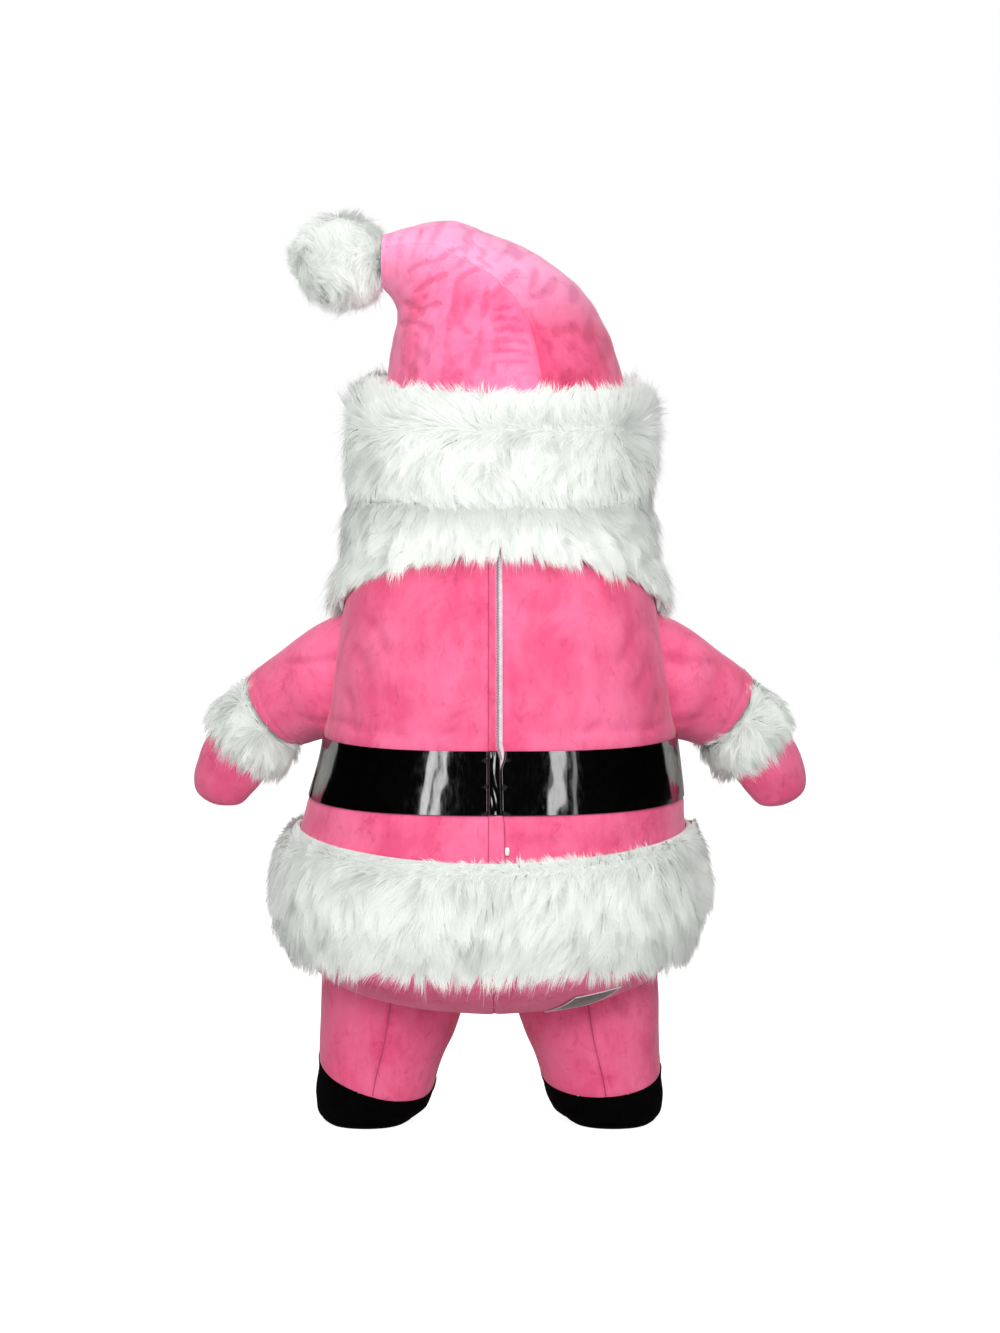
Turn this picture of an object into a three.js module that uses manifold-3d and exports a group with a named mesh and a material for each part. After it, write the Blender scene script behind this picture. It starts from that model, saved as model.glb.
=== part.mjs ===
// A hollow plush Santa costume, filled out as it is when somebody wears it: a barrel-shaped body with a
// centre-back zip, belt and fur hem, two sleeves with fur cuffs and mittens, two legs with soft boots, and
// a head piece of hat, fur brim, hair, face and beard. +X is the wearer's left and +Y the back.
// Heights are measured up from the floor, and the whole group is then lowered, so that the origin is the
// middle of the neck opening, where the wearer's shoulders carry the suit. Everything is in millimetres.
import * as THREE from "three";
import Module from "manifold-3d";

const wasm = await Module();
wasm.setup();

const CLOTH = 3; // plush with its backing
const VINYL = 2; // patent belt
const SEAM = 0.3; // gap left between two pieces
const COLUMNS = 40; // facets around the body and the head
const FULLNESS = 0.045; // how much fuller than an ellipse a section is between its axes
const SHOULDER_HEIGHT = 1400; // height of the neck opening above the floor
const TURN = 2 * Math.PI;
const QUARTER = Math.PI / 2;
const STEP = TURN / COLUMNS;

const BELT = { top: 868, bottom: 732 };
const LEAN = { reach: 24, from: 868, to: 560 }; // the lower half stands towards the wearer's left
const BASE = { rim: 420, depth: 166, seamX: 12 }; // the bowl under the body
const ZIP = { top: 1296, bottom: 634, tape: 1.4, leftX: 16, rightX: -5, slant: 14 };
const FLAP = { sewnX: 24, freeX: 10, slant: 18, cloth: 2.4 };
const SLIDER = { x: -13, height: 651, width: 9, length: 15, thick: 5 };
const SOLE_THICKNESS = 12;

// Horizontal sections of the body, from the neck opening down to the rim of the base.
const BODY = [
  { height: 1400, halfWidth: 165, back: 125, front: 125 },
  { height: 1385, halfWidth: 222, back: 170, front: 170 },
  { height: 1350, halfWidth: 275, back: 213, front: 214 },
  { height: 1290, halfWidth: 322, back: 260, front: 264 },
  { height: 1220, halfWidth: 348, back: 297, front: 308 },
  { height: 1143, halfWidth: 364, back: 322, front: 340 },
  { height: 1050, halfWidth: 384, back: 338, front: 368 },
  { height: 868, halfWidth: 405, back: 358, front: 398 },
  { height: 732, halfWidth: 430, back: 375, front: 416 },
  { height: 640, halfWidth: 446, back: 386, front: 426 },
  { height: 540, halfWidth: 450, back: 388, front: 427 },
  { height: 420, halfWidth: 432, back: 372, front: 408 },
];

// Horizontal sections of the hollow inside the head piece.
const HEAD = [
  { height: 1120, halfWidth: 326, back: 286, front: 300 },
  { height: 1230, halfWidth: 326, back: 298, front: 320 },
  { height: 1300, halfWidth: 322, back: 300, front: 332 },
  { height: 1400, halfWidth: 322, back: 305, front: 340 },
  { height: 1470, halfWidth: 322, back: 308, front: 338 },
  { height: 1560, halfWidth: 322, back: 305, front: 330 },
  { height: 1760, halfWidth: 322, back: 300, front: 318 },
];

// Tilted sections of the hat: both ends of each section seen from the back, its half depth, and how far
// its back edge drops. They fan out around the wearer's left side, so the cone leans over.
const HAT = [
  { leftX: 262, leftZ: 1690, rightX: -290, rightZ: 1684, halfDepth: 262, drop: 55 },
  { leftX: 247, leftZ: 1789, rightX: -249, rightZ: 1800, halfDepth: 240, drop: 40 },
  { leftX: 238, leftZ: 1835, rightX: -184, rightZ: 1905, halfDepth: 208, drop: 28 },
  { leftX: 238, leftZ: 1852, rightX: -95, rightZ: 1978, halfDepth: 176, drop: 19 },
  { leftX: 244, leftZ: 1868, rightX: 5, rightZ: 2026, halfDepth: 146, drop: 12 },
  { leftX: 253, leftZ: 1884, rightX: 114, rightZ: 2062, halfDepth: 114, drop: 6 },
  { leftX: 262, leftZ: 1896, rightX: 194, rightZ: 2050, halfDepth: 84, drop: 2 },
  { leftX: 272, leftZ: 1909, rightX: 268, rightZ: 2031, halfDepth: 62, drop: 0 },
];
const POMPOM = { x: 366, height: 1971, halfX: 116, halfY: 114, halfZ: 120 };

// Horizontal sections of a leg and its boot, for the wearer's left.
const LEG = [
  { height: 470, centreX: 203, halfWidth: 176, back: 174, front: 176 },
  { height: 300, centreX: 219, halfWidth: 167, back: 158, front: 162 },
  { height: 200, centreX: 235, halfWidth: 154, back: 149, front: 152 },
  { height: 150, centreX: 247, halfWidth: 143, back: 144, front: 152 },
  { height: 110, centreX: 256, halfWidth: 138, back: 142, front: 174 },
  { height: 70, centreX: 263, halfWidth: 135, back: 140, front: 202 },
  { height: 35, centreX: 269, halfWidth: 127, back: 134, front: 214 },
  { height: 12, centreX: 278, halfWidth: 107, back: 122, front: 204 },
  { height: 0, centreX: 279, halfWidth: 92, back: 107, front: 190 },
];
// How the boot's edge rises and falls. The two boots are pulled up to different heights on the outside.
const BOOT_TOP = { mean: 112, outer: { left: 36, right: 8 }, back: -31, sides: 2.5 };

// Middle line of the wearer's left arm, from inside the body to the tip of the mitten.
const ARM = [
  { station: 0, x: 250, y: 2, z: 1052 },
  { station: 1, x: 384, y: -6, z: 1003 },
  { station: 2, x: 452, y: -25, z: 974 },
  { station: 3, x: 520, y: -50, z: 937 },
  { station: 4, x: 560, y: -67, z: 898 },
  { station: 5, x: 597, y: -82, z: 852 },
  { station: 6, x: 627, y: -95, z: 810 },
  { station: 7, x: 650, y: -106, z: 768 },
  { station: 8, x: 665, y: -113, z: 732 },
  { station: 9, x: 671, y: -116, z: 713 },
];
const SLEEVE_START = 0.3; // station inside the body where the sleeve's tube begins, before it is trimmed
const SLEEVE = [
  { station: 0, halfHeight: 146, halfDepth: 132 },
  { station: 1, halfHeight: 134, halfDepth: 122 },
  { station: 2, halfHeight: 113, halfDepth: 109 },
  { station: 3, halfHeight: 101, halfDepth: 98 },
];
const MITTEN = [
  { station: 3.1, halfHeight: 76, halfDepth: 66 },
  { station: 4, halfHeight: 80, halfDepth: 69 },
  { station: 5, halfHeight: 83, halfDepth: 69 },
  { station: 6, halfHeight: 83, halfDepth: 66 },
  { station: 7, halfHeight: 79, halfDepth: 60 },
  { station: 9, halfHeight: 76, halfDepth: 56 },
];
const MITTEN_ROWS = [3.06, 4, 5, 6, 7, 7.8, 8.4, 8.8, 9];
const CUFF_ROWS = [3.005, 3.4, 4, 4.6, 5];
const THUMB = [
  { station: 0, x: 590, y: -112, z: 826, radius: 26 },
  { station: 1, x: 584, y: -138, z: 798, radius: 31 },
  { station: 2, x: 591, y: -155, z: 766, radius: 31 },
  { station: 3, x: 602, y: -165, z: 740, radius: 31 },
];
const THUMB_ROWS = [0, 1, 1.8, 2.5, 2.85, 3];
const CUFF = [
  { station: 3.005, reach: 25 },
  { station: 3.4, reach: 42 },
  { station: 4, reach: 48 },
  { station: 4.6, reach: 42 },
  { station: 5, reach: 14 },
];

// How far each fur piece stands out, from its sewn edge (share 0) to its free edge (share 1).
const HAT_COLUMN = TURN / 20;
const HEM_FUR = [
  { share: 0, reach: 34 },
  { share: 0.12, reach: 74 },
  { share: 0.42, reach: 90 },
  { share: 0.62, reach: 70 },
  { share: 0.86, reach: 44 },
  { share: 1, reach: 14 },
];
const BRIM_FUR = [
  { share: 0, reach: 36 },
  { share: 0.18, reach: 46 },
  { share: 0.52, reach: 73 },
  { share: 0.7, reach: 84 },
  { share: 0.88, reach: 84 },
  { share: 1, reach: 40 },
];
const HAIR_FUR = [
  { share: 0, reach: 36 },
  { share: 0.14, reach: 57 },
  { share: 0.5, reach: 66 },
  { share: 0.8, reach: 50 },
  { share: 1, reach: 10 },
];
const FUR_LIFT = 24; // how far the brim's pile stands above the seam it shares with the hat

// Beard and face, by how many columns they lie from the middle of the front.
const FRONT = 1.5 * Math.PI;
const FACE_SPAN = 6;
const BEARD_SPAN = 11;
const BEARD = { top: 1262, bottom: 955, sideBottom: 1166, sideSpan: 8.4, extra: 26 };
const LAID = 1.6; // how far hair and beard lie off the shoulders under them
const EYE = { angle: 0.27, height: 1382, halfWidth: 20, halfHeight: 27, halfDepth: 10 };
const NOSE = { height: 1346, halfWidth: 42, halfHeight: 35, halfDepth: 40 };
const MOUSTACHE = [
  { share: 0, angle: 0.035, height: 1306, radius: 24 },
  { share: 0.3, angle: 0.16, height: 1304, radius: 33 },
  { share: 0.6, angle: 0.33, height: 1301, radius: 29 },
  { share: 0.85, angle: 0.47, height: 1304, radius: 18 },
  { share: 1, angle: 0.54, height: 1308, radius: 0 },
];
const VENT = { startAngle: 2.03, endAngle: 2.42, low: 282, high: 330, slant: 16, lift: 2, thick: 1.6 };

// Smooth value of one column of a table at a key, with no overshoot between the rows.
function look(table, key, name, at) {
  const rising = table[0][key] < table[table.length - 1][key] ? table : [...table].reverse();
  const keys = rising.map((row) => row[key]);
  const values = rising.map((row) => row[name]);
  const last = keys.length - 1;
  const place = Math.min(Math.max(at, keys[0]), keys[last]);
  let i = 0;
  while (i < last - 1 && place > keys[i + 1]) i++;
  const secant = (k) => (values[k + 1] - values[k]) / (keys[k + 1] - keys[k]);
  const slope = (k) => {
    if (k === 0) return secant(0);
    if (k === last) return secant(last - 1);
    const [before, after] = [secant(k - 1), secant(k)];
    return before * after <= 0 ? 0 : (2 * before * after) / (before + after);
  };
  const span = keys[i + 1] - keys[i];
  const t = (place - keys[i]) / span;
  return (
    values[i] * (1 + 2 * t) * (1 - t) ** 2 +
    values[i + 1] * t * t * (3 - 2 * t) +
    span * t * (1 - t) * (slope(i) * (1 - t) - slope(i + 1) * t)
  );
}

const mix = (a, b, t) => a + (b - a) * t;

// How far a section's middle lies towards the wearer's left at a height.
const lean = (height) => LEAN.reach * THREE.MathUtils.smoothstep(LEAN.from - height, 0, LEAN.from - LEAN.to);

// One horizontal section's sizes at a height.
function sectionAt(table, height) {
  const get = (name) => look(table, "height", name, height);
  return { halfWidth: get("halfWidth"), back: get("back"), front: get("front") };
}

// A point on a horizontal section: angle 0 is +X, a quarter turn is the back.
function onSection(section, angle, height, centreX = 0) {
  const full = 1 + FULLNESS * Math.sin(2 * angle) ** 2;
  const depth = Math.sin(angle) > 0 ? section.back : section.front;
  return new THREE.Vector3(
    centreX + section.halfWidth * Math.cos(angle) * full,
    depth * Math.sin(angle) * full,
    height,
  );
}

// The body's section at a height, with the bowl of the base under its rim.
function bodySection(height) {
  const section = sectionAt(BODY, Math.max(height, BASE.rim));
  const under = Math.min(Math.max((BASE.rim - height) / BASE.depth, 0), 0.9999);
  const scale = Math.sqrt(1 - under * under);
  return {
    halfWidth: section.halfWidth * scale,
    back: section.back * scale,
    front: section.front * scale,
  };
}

const bodyPoint = (angle, height) => onSection(bodySection(height), angle, height, lean(height));
const headPoint = (angle, height) => onSection(sectionAt(HEAD, height), angle, height);

// What the hair and the beard lie on: the body's shoulders low down, the head's hollow higher up.
function liningPoint(angle, height) {
  const head = sectionAt(HEAD, height);
  const body = height < SHOULDER_HEIGHT ? bodySection(height) : head;
  const larger = (name) => Math.max(head[name], body[name] + LAID);
  const section = { halfWidth: larger("halfWidth"), back: larger("back"), front: larger("front") };
  return onSection(section, angle, height);
}

// A point moved along the surface's outward normal. The surface is a function of an angle and a height.
function movedOut(surface, angle, height, distance) {
  const small = 0.01;
  const around = surface(angle + small, height).sub(surface(angle - small, height));
  const up = surface(angle, height + 1).sub(surface(angle, height - 1));
  return surface(angle, height).addScaledVector(around.cross(up).normalize(), distance);
}

// A point moved straight out from the middle, level with where it was.
function movedLevel(point, distance) {
  const out = new THREE.Vector3(point.x, point.y, 0).normalize();
  return point.addScaledVector(out, distance);
}

// A solid of points and triangles. Points that fall together are joined, and faces with no area left out.
function solidOf(points, faces) {
  const found = new Map();
  const kept = [];
  const index = points.map((p) => {
    const key = [p.x, p.y, p.z].map((n) => n.toFixed(3)).join();
    if (!found.has(key)) {
      found.set(key, kept.length / 3);
      kept.push(p.x, p.y, p.z);
    }
    return found.get(key);
  });
  const whole = faces
    .map((face) => face.map((i) => index[i]))
    .filter(([a, b, c]) => a !== b && b !== c && c !== a);
  const build = (list) =>
    new wasm.Manifold(
      new wasm.Mesh({
        numProp: 3,
        vertProperties: new Float32Array(kept),
        triVerts: new Uint32Array(list.flat()),
      }),
    );
  const made = build(whole);
  return made.volume() > 0 ? made : build(whole.map(([a, b, c]) => [a, c, b]));
}

// A closed wall between two skins of the same grid. A ring joins its last column to its first.
function wall(columns, rows, isRing, outer, inner) {
  const width = isRing ? columns : columns + 1;
  const points = [];
  const faces = [];
  for (const skin of [outer, inner]) {
    for (let j = 0; j <= rows; j++) {
      for (let i = 0; i < width; i++) points.push(skin(i / columns, j / rows, i, j));
    }
  }
  const at = (skin, i, j) => skin * width * (rows + 1) + j * width + (i % width);
  const quad = (a, b, c, d) => faces.push([a, b, c], [a, c, d]);
  for (let j = 0; j < rows; j++) {
    for (let i = 0; i < columns; i++) {
      quad(at(0, i, j), at(0, i + 1, j), at(0, i + 1, j + 1), at(0, i, j + 1));
      quad(at(1, i, j), at(1, i, j + 1), at(1, i + 1, j + 1), at(1, i + 1, j));
    }
  }
  for (let i = 0; i < columns; i++) {
    quad(at(0, i, 0), at(1, i, 0), at(1, i + 1, 0), at(0, i + 1, 0));
    quad(at(0, i, rows), at(0, i + 1, rows), at(1, i + 1, rows), at(1, i, rows));
  }
  for (let j = 0; j < rows && !isRing; j++) {
    quad(at(0, 0, j), at(0, 0, j + 1), at(1, 0, j + 1), at(1, 0, j));
    quad(at(0, columns, j), at(1, columns, j), at(1, columns, j + 1), at(0, columns, j + 1));
  }
  return solidOf(points, faces);
}

// A filled form with round sections: a skin closed at both ends by fans.
function filled(columns, rows, skin) {
  const points = [];
  const faces = [];
  for (let j = 0; j <= rows; j++) {
    for (let i = 0; i < columns; i++) points.push(skin(i / columns, j / rows, j));
  }
  const at = (i, j) => j * columns + (i % columns);
  for (let j = 0; j < rows; j++) {
    for (let i = 0; i < columns; i++) {
      faces.push([at(i, j), at(i + 1, j), at(i + 1, j + 1)], [at(i, j), at(i + 1, j + 1), at(i, j + 1)]);
    }
  }
  for (const [j, flip] of [
    [0, true],
    [rows, false],
  ]) {
    const middle = new THREE.Vector3();
    for (let i = 0; i < columns; i++) middle.addScaledVector(points[at(i, j)], 1 / columns);
    points.push(middle);
    const m = points.length - 1;
    for (let i = 0; i < columns; i++) {
      faces.push(flip ? [at(i + 1, j), at(i, j), m] : [at(i, j), at(i + 1, j), m]);
    }
  }
  return solidOf(points, faces);
}

const BODY_HEIGHTS = BODY.map((row) => row.height);
const BOWL_ROWS = 5;

// A point on the bowl, from its rim (share 0) to its lowest point (share 1).
function bowlPoint(angle, share, distance) {
  if (share === 1) return new THREE.Vector3(LEAN.reach, 0, BASE.rim - BASE.depth - distance);
  const height = BASE.rim - SEAM / 2 - BASE.depth * Math.sin(share * QUARTER);
  return movedOut(bodyPoint, angle, height, distance);
}

// Lumps that the fur's larger locks make, in millimetres, at an angle and a share of the pile's length.
function locks(angle, share) {
  const comb = Math.sin(11 * angle + 3.1 * share) * Math.sin(7 * angle - 5 * share + 1.3);
  const middle = Math.sin(Math.PI * Math.min(Math.max(share, 0), 1));
  return 7 * comb * middle + 2 * Math.sin(19 * angle + 9 * share);
}

// The whole body and base as one filled form, moved out by a gap: it trims what is sewn or laid on it.
function bodyEnvelope(gap) {
  const above = BODY_HEIGHTS.length - 1;
  return filled(COLUMNS, above + BOWL_ROWS, (u, v, j) => {
    if (j > above) return bowlPoint(u * TURN, (j - above) / BOWL_ROWS, gap);
    return movedOut(bodyPoint, u * TURN, BODY_HEIGHTS[j], gap);
  });
}

// The hollow of a leg or of an arm, as a filled form: it cuts the hole that the limb opens into.
function legVoid(side) {
  return filled(20, 4, (u, v) => legPoint(side, u * TURN, mix(120, 470, v), -CLOTH));
}

function armVoid(side) {
  return filled(18, 4, (u, v) => armPoint(side, SLEEVE, u * TURN, mix(SLEEVE_START, 3, v), -CLOTH));
}

// A point on a leg or boot, a distance out from its skin.
function legPoint(side, angle, height, distance) {
  const section = sectionAt(LEG, height);
  const grown = {
    halfWidth: section.halfWidth + distance,
    back: section.back + distance,
    front: section.front + distance,
  };
  const point = onSection(grown, angle, height, look(LEG, "height", "centreX", height));
  point.x = side * point.x + lean(height);
  return point;
}

// Height of the boot's top edge at an angle round the leg.
function bootTop(side, angle) {
  return (
    BOOT_TOP.mean +
    BOOT_TOP.outer[sideName(side)] * Math.cos(angle) +
    BOOT_TOP.back * Math.sin(angle) +
    BOOT_TOP.sides * Math.cos(2 * angle)
  );
}

// The middle of the arm at a station, and the upward and depthwise directions of its section there.
function armFrame(station) {
  const at = (s) => new THREE.Vector3(...["x", "y", "z"].map((name) => look(ARM, "station", name, s)));
  const nudge = 0.05;
  const along = at(Math.min(station + nudge, 9)).sub(at(Math.max(station - nudge, 0))).normalize();
  const up = new THREE.Vector3(0, 0, 1).addScaledVector(along, -along.z).normalize();
  return { centre: at(station), along, up, deep: along.clone().cross(up) };
}

// A point on the arm's section, a distance out from the sizes in a table.
function armPoint(side, table, angle, station, distance) {
  const { centre, up, deep } = armFrame(station);
  const height = Math.max(look(table, "station", "halfHeight", station) + distance, 0);
  const depth = Math.max(look(table, "station", "halfDepth", station) + distance, 0);
  const point = centre.addScaledVector(up, height * Math.sin(angle));
  point.addScaledVector(deep, depth * Math.cos(angle));
  point.x *= side;
  return point;
}

// A point on the hat, at an angle round it and a share of the way from the brim to the tip.
function hatPoint(angle, share, distance = 0) {
  const row = share * (HAT.length - 1);
  const table = HAT.map((section, i) => ({ ...section, row: i }));
  const get = (name) => look(table, "row", name, row);
  const left = new THREE.Vector3(get("leftX"), 0, get("leftZ"));
  const right = new THREE.Vector3(get("rightX"), 0, get("rightZ"));
  const middle = left.clone().add(right).multiplyScalar(0.5);
  const across = left.sub(right).multiplyScalar(0.5);
  const deep = new THREE.Vector3(0, get("halfDepth"), -get("drop"));
  across.setLength(across.length() + distance);
  deep.setLength(deep.length() + distance);
  return middle.addScaledVector(across, Math.cos(angle)).addScaledVector(deep, Math.sin(angle));
}

// Lower edge of the hat's brim: lower at the back than in front.
const brimLow = (angle) => 1422 - 24 * Math.sin(angle);
const brimHigh = (angle) => hatPoint(angle, 0).z;
const hemTop = (angle) => 622 + 48 * Math.cos(angle) ** 2;
const hemBottom = (angle) => 374 - 22 * Math.cos(angle) ** 2;

// Lower edge of the hair: high over the zip, dropping to the beard at both sides.
const hairBottom = (angle) => 1290 - 136 * Math.abs(Math.cos(angle)) ** 2.4;

// Top and bottom edges of the beard, by the number of columns from the middle of the front.
function beardEdges(angle) {
  const away = Math.abs(angle - FRONT) / STEP;
  const rise = Math.min(Math.max((away - 2.5) / (FACE_SPAN - 2.5), 0), 1) ** 2;
  const top = mix(BEARD.top, brimLow(angle) - 1, rise);
  const rim = Math.min(away / BEARD.sideSpan, 1) ** 2.2;
  return { top, bottom: mix(BEARD.bottom, BEARD.sideBottom, rim) };
}

const materials = {
  plush: { color: 0xf56d9b, roughness: 0.9 },
  vinyl: { color: 0x060606, roughness: 0.12 },
  fur: { color: 0xe9ece8, roughness: 1 },
  boot: { color: 0x17100f, roughness: 0.95 },
  skin: { color: 0xf2c3a4, roughness: 0.9 },
  nose: { color: 0xe79a86, roughness: 0.85 },
  eye: { color: 0x0c0a0a, roughness: 0.2 },
  tape: { color: 0xeadfe4, roughness: 0.7 },
  mesh: { color: 0x77706f, roughness: 0.8 },
};
for (const [name, look] of Object.entries(materials)) {
  materials[name] = new THREE.MeshStandardMaterial({ name, metalness: 0, ...look });
}

const costume = new THREE.Group();
costume.name = "costume";

function place(name, solid, material) {
  const mesh = solid.getMesh();
  const geometry = new THREE.BufferGeometry()
    .setAttribute("position", new THREE.BufferAttribute(new Float32Array(mesh.vertProperties), 3))
    .setIndex(new THREE.BufferAttribute(new Uint32Array(mesh.triVerts), 1));
  geometry.computeVertexNormals();
  const piece = new THREE.Mesh(geometry, material);
  piece.name = name;
  costume.add(piece);
}

const envelope = bodyEnvelope(SEAM);
const sideName = (side) => (side > 0 ? "left" : "right");

// A panel of the body between two angles, from the neck to the rim of the base.
function bodyPanel(start, end) {
  const columns = Math.round((end - start) / STEP);
  const rows = BODY_HEIGHTS.length - 1;
  const edge = SEAM / 2 / BODY[BODY.length - 1].halfWidth;
  const angleAt = (i) => mix(start, end, i / columns) + (i === 0 ? edge : 0) - (i === columns ? edge : 0);
  const skin = (distance) => (u, v, i, j) =>
    movedOut(bodyPoint, angleAt(i), BODY_HEIGHTS[j] + (j === rows ? SEAM / 2 : 0), distance);
  return wall(columns, rows, false, skin(0), skin(-CLOTH));
}

function buildBody() {
  const holes = armVoid(1).add(armVoid(-1));
  place("body_back_left", bodyPanel(0, QUARTER).subtract(holes), materials.plush);
  place("body_back_right", bodyPanel(QUARTER, Math.PI).subtract(holes), materials.plush);
  place("body_front", bodyPanel(Math.PI, TURN).subtract(holes), materials.plush);
}

// Half a space, as a large block on one side of a plane across X.
function halfSpace(x, side) {
  const size = 2000;
  const block = new THREE.BoxGeometry(size, size, size).translate(x + (side * size) / 2, 0, 0);
  const corners = block.getAttribute("position");
  const corner = (i) => new THREE.Vector3().fromBufferAttribute(corners, i);
  const points = Array.from({ length: corners.count }, (_, i) => corner(i));
  const index = Array.from(block.getIndex().array);
  const faces = Array.from({ length: index.length / 3 }, (_, i) => index.slice(3 * i, 3 * i + 3));
  return solidOf(points, faces);
}

// The bowl under the body, in two halves that meet at a seam, each with the hole of its leg.
function buildBase() {
  const skin = (distance) => (u, v) => bowlPoint(u * TURN, v, distance);
  const bowl = wall(COLUMNS, BOWL_ROWS, true, skin(0), skin(-CLOTH));
  for (const side of [1, -1]) {
    const half = bowl.intersect(halfSpace(BASE.seamX + (side * SEAM) / 2, side));
    place("base_" + sideName(side), half.subtract(legVoid(side)), materials.plush);
  }
}

function buildLegs() {
  for (const side of [1, -1]) {
    const leg = (distance) => (u, v) =>
      legPoint(side, u * TURN, mix(bootTop(side, u * TURN) + SEAM, 440, v), distance);
    const boot = (distance) => (u, v) =>
      legPoint(side, u * TURN, mix(SOLE_THICKNESS, bootTop(side, u * TURN), v), distance);
    const tube = wall(20, 4, true, leg(0), leg(-CLOTH)).subtract(envelope);
    place("leg_" + sideName(side), tube, materials.plush);
    place("boot_" + sideName(side), wall(20, 5, true, boot(0), boot(-CLOTH)), materials.boot);
    const sole = filled(20, 1, (u, v) => legPoint(side, u * TURN, v * (SOLE_THICKNESS - SEAM), 0));
    place("sole_" + sideName(side), sole, materials.boot);
  }
}

// How a round end closes: 1 before it starts, 0 at its tip.
function roundEnd(at, start, tip) {
  const share = Math.max(at - start, 0) / (tip - start);
  return Math.sqrt(Math.max(1 - share ** 2, 0));
}

// The thumb and the hand of a mitten as filled forms. A distance below 0 gives their hollows.
function thumb(side, distance) {
  return filled(8, THUMB_ROWS.length - 1, (u, v, j) => {
    const station = THUMB_ROWS[j];
    const get = (name) => look(THUMB, "station", name, station);
    const close = roundEnd(station, 1.6, 3);
    const radius = (get("radius") + distance) * close;
    const point = new THREE.Vector3(
      side * (get("x") + Math.cos(u * TURN) * radius),
      get("y") + Math.sin(u * TURN) * radius,
      get("z") - distance * (1 - close),
    );
    return point;
  });
}

function hand(side, distance) {
  return filled(14, MITTEN_ROWS.length - 1, (u, v, j) => {
    const station = distance < 0 && j === 0 ? MITTEN_ROWS[0] - 0.1 : MITTEN_ROWS[j];
    const close = roundEnd(station, 6.2, 9);
    const { centre, along } = armFrame(station);
    centre.x *= side;
    along.x *= side;
    const point = armPoint(side, MITTEN, u * TURN, station, distance);
    point.sub(centre).multiplyScalar(close).add(centre);
    return point.addScaledVector(along, distance * (1 - close));
  });
}

function buildArms() {
  for (const side of [1, -1]) {
    const sleeve = (distance) => (u, v) => armPoint(side, SLEEVE, u * TURN, mix(SLEEVE_START, 3, v), distance);
    const tube = wall(18, 4, true, sleeve(0), sleeve(-CLOTH)).subtract(envelope);
    place("sleeve_" + sideName(side), tube, materials.plush);

    const mitten = hand(side, 0).add(thumb(side, 0));
    const hollow = hand(side, -CLOTH).add(thumb(side, -CLOTH));
    place("mitten_" + sideName(side), mitten.subtract(hollow), materials.plush);

    const inside = (u, v, i, j) => armPoint(side, MITTEN, u * TURN, CUFF_ROWS[j], 4 * SEAM);
    const outside = (u, v, i, j) => {
      const reach = look(CUFF, "station", "reach", CUFF_ROWS[j]) + 0.5 * locks(u * TURN, v);
      return armPoint(side, MITTEN, u * TURN, CUFF_ROWS[j], reach);
    };
    const cuff = wall(14, CUFF_ROWS.length - 1, true, outside, inside);
    place("cuff_fur_" + sideName(side), cuff, materials.fur);
  }
}

// The angle at which the body's back is a distance across from the zip.
function angleAcross(x, height) {
  let [low, high] = [QUARTER - 0.4, QUARTER + 0.4];
  for (let i = 0; i < 40; i++) {
    const middle = (low + high) / 2;
    if (bodyPoint(middle, height).x > x) low = middle;
    else high = middle;
  }
  return (low + high) / 2;
}

// A strip along the zip, between two edges that are given across the back for each height.
function backStrip(top, bottom, leftEdge, rightEdge, lift, thick) {
  const heights = [top, ...BODY_HEIGHTS.filter((h) => h < top - 5 && h > bottom + 5), bottom];
  const skin = (distance) => (u, v, i, j) => {
    const height = heights[j];
    const x = mix(leftEdge(height), rightEdge(height), u);
    return movedOut(bodyPoint, angleAcross(x, height), height, distance);
  };
  return wall(2, heights.length - 1, false, skin(lift + thick), skin(lift));
}

// Share of the way down the lower half of the zip, where it drifts towards the wearer's right.
const drift = (height) => THREE.MathUtils.smoothstep(1105 - height, 0, 400);

function buildBeltAndZip() {
  const left = (height) => ZIP.leftX - ZIP.slant * drift(height);
  const right = (height) => ZIP.rightX - ZIP.slant * drift(height);
  place("zip_tape", backStrip(ZIP.top, ZIP.bottom, left, right, SEAM, ZIP.tape), materials.tape);
  const lift = 2 * SEAM + ZIP.tape;
  const sewn = () => FLAP.sewnX;
  const free = (height) => FLAP.freeX - FLAP.slant * drift(height);
  for (const [name, top, bottom, material] of [
    ["flap_upper", ZIP.top, BELT.top + SEAM, materials.plush],
    ["flap_belt", BELT.top, BELT.bottom, materials.vinyl],
    ["flap_lower", BELT.bottom - SEAM, ZIP.bottom, materials.plush],
  ]) {
    place(name, backStrip(top, bottom, sewn, free, lift, FLAP.cloth), material);
  }
  const slide = (distance) => (u, v) => {
    const height = mix(SLIDER.height, SLIDER.height + SLIDER.length, v);
    const x = SLIDER.x + (0.5 - u) * SLIDER.width;
    return movedOut(bodyPoint, angleAcross(x, height), height, distance);
  };
  place("zip_slider", wall(1, 1, false, slide(lift + SLIDER.thick), slide(lift)), materials.tape);

  const heights = BODY_HEIGHTS.filter((h) => h <= BELT.top && h >= BELT.bottom);
  const start = (height) => angleAcross(right(height) - SEAM, height);
  const end = (height) => angleAcross(FLAP.sewnX + SEAM, height) + TURN;
  const belt = (distance) => (u, v, i, j) => {
    const on = Math.round(QUARTER / STEP) * STEP + i * STEP;
    const edge = i === 0 ? start(heights[j]) : i === COLUMNS ? end(heights[j]) : on;
    return movedOut(bodyPoint, edge, heights[j], distance);
  };
  place("belt", wall(COLUMNS, heights.length - 1, false, belt(SEAM + VINYL), belt(SEAM)), materials.vinyl);
}

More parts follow.
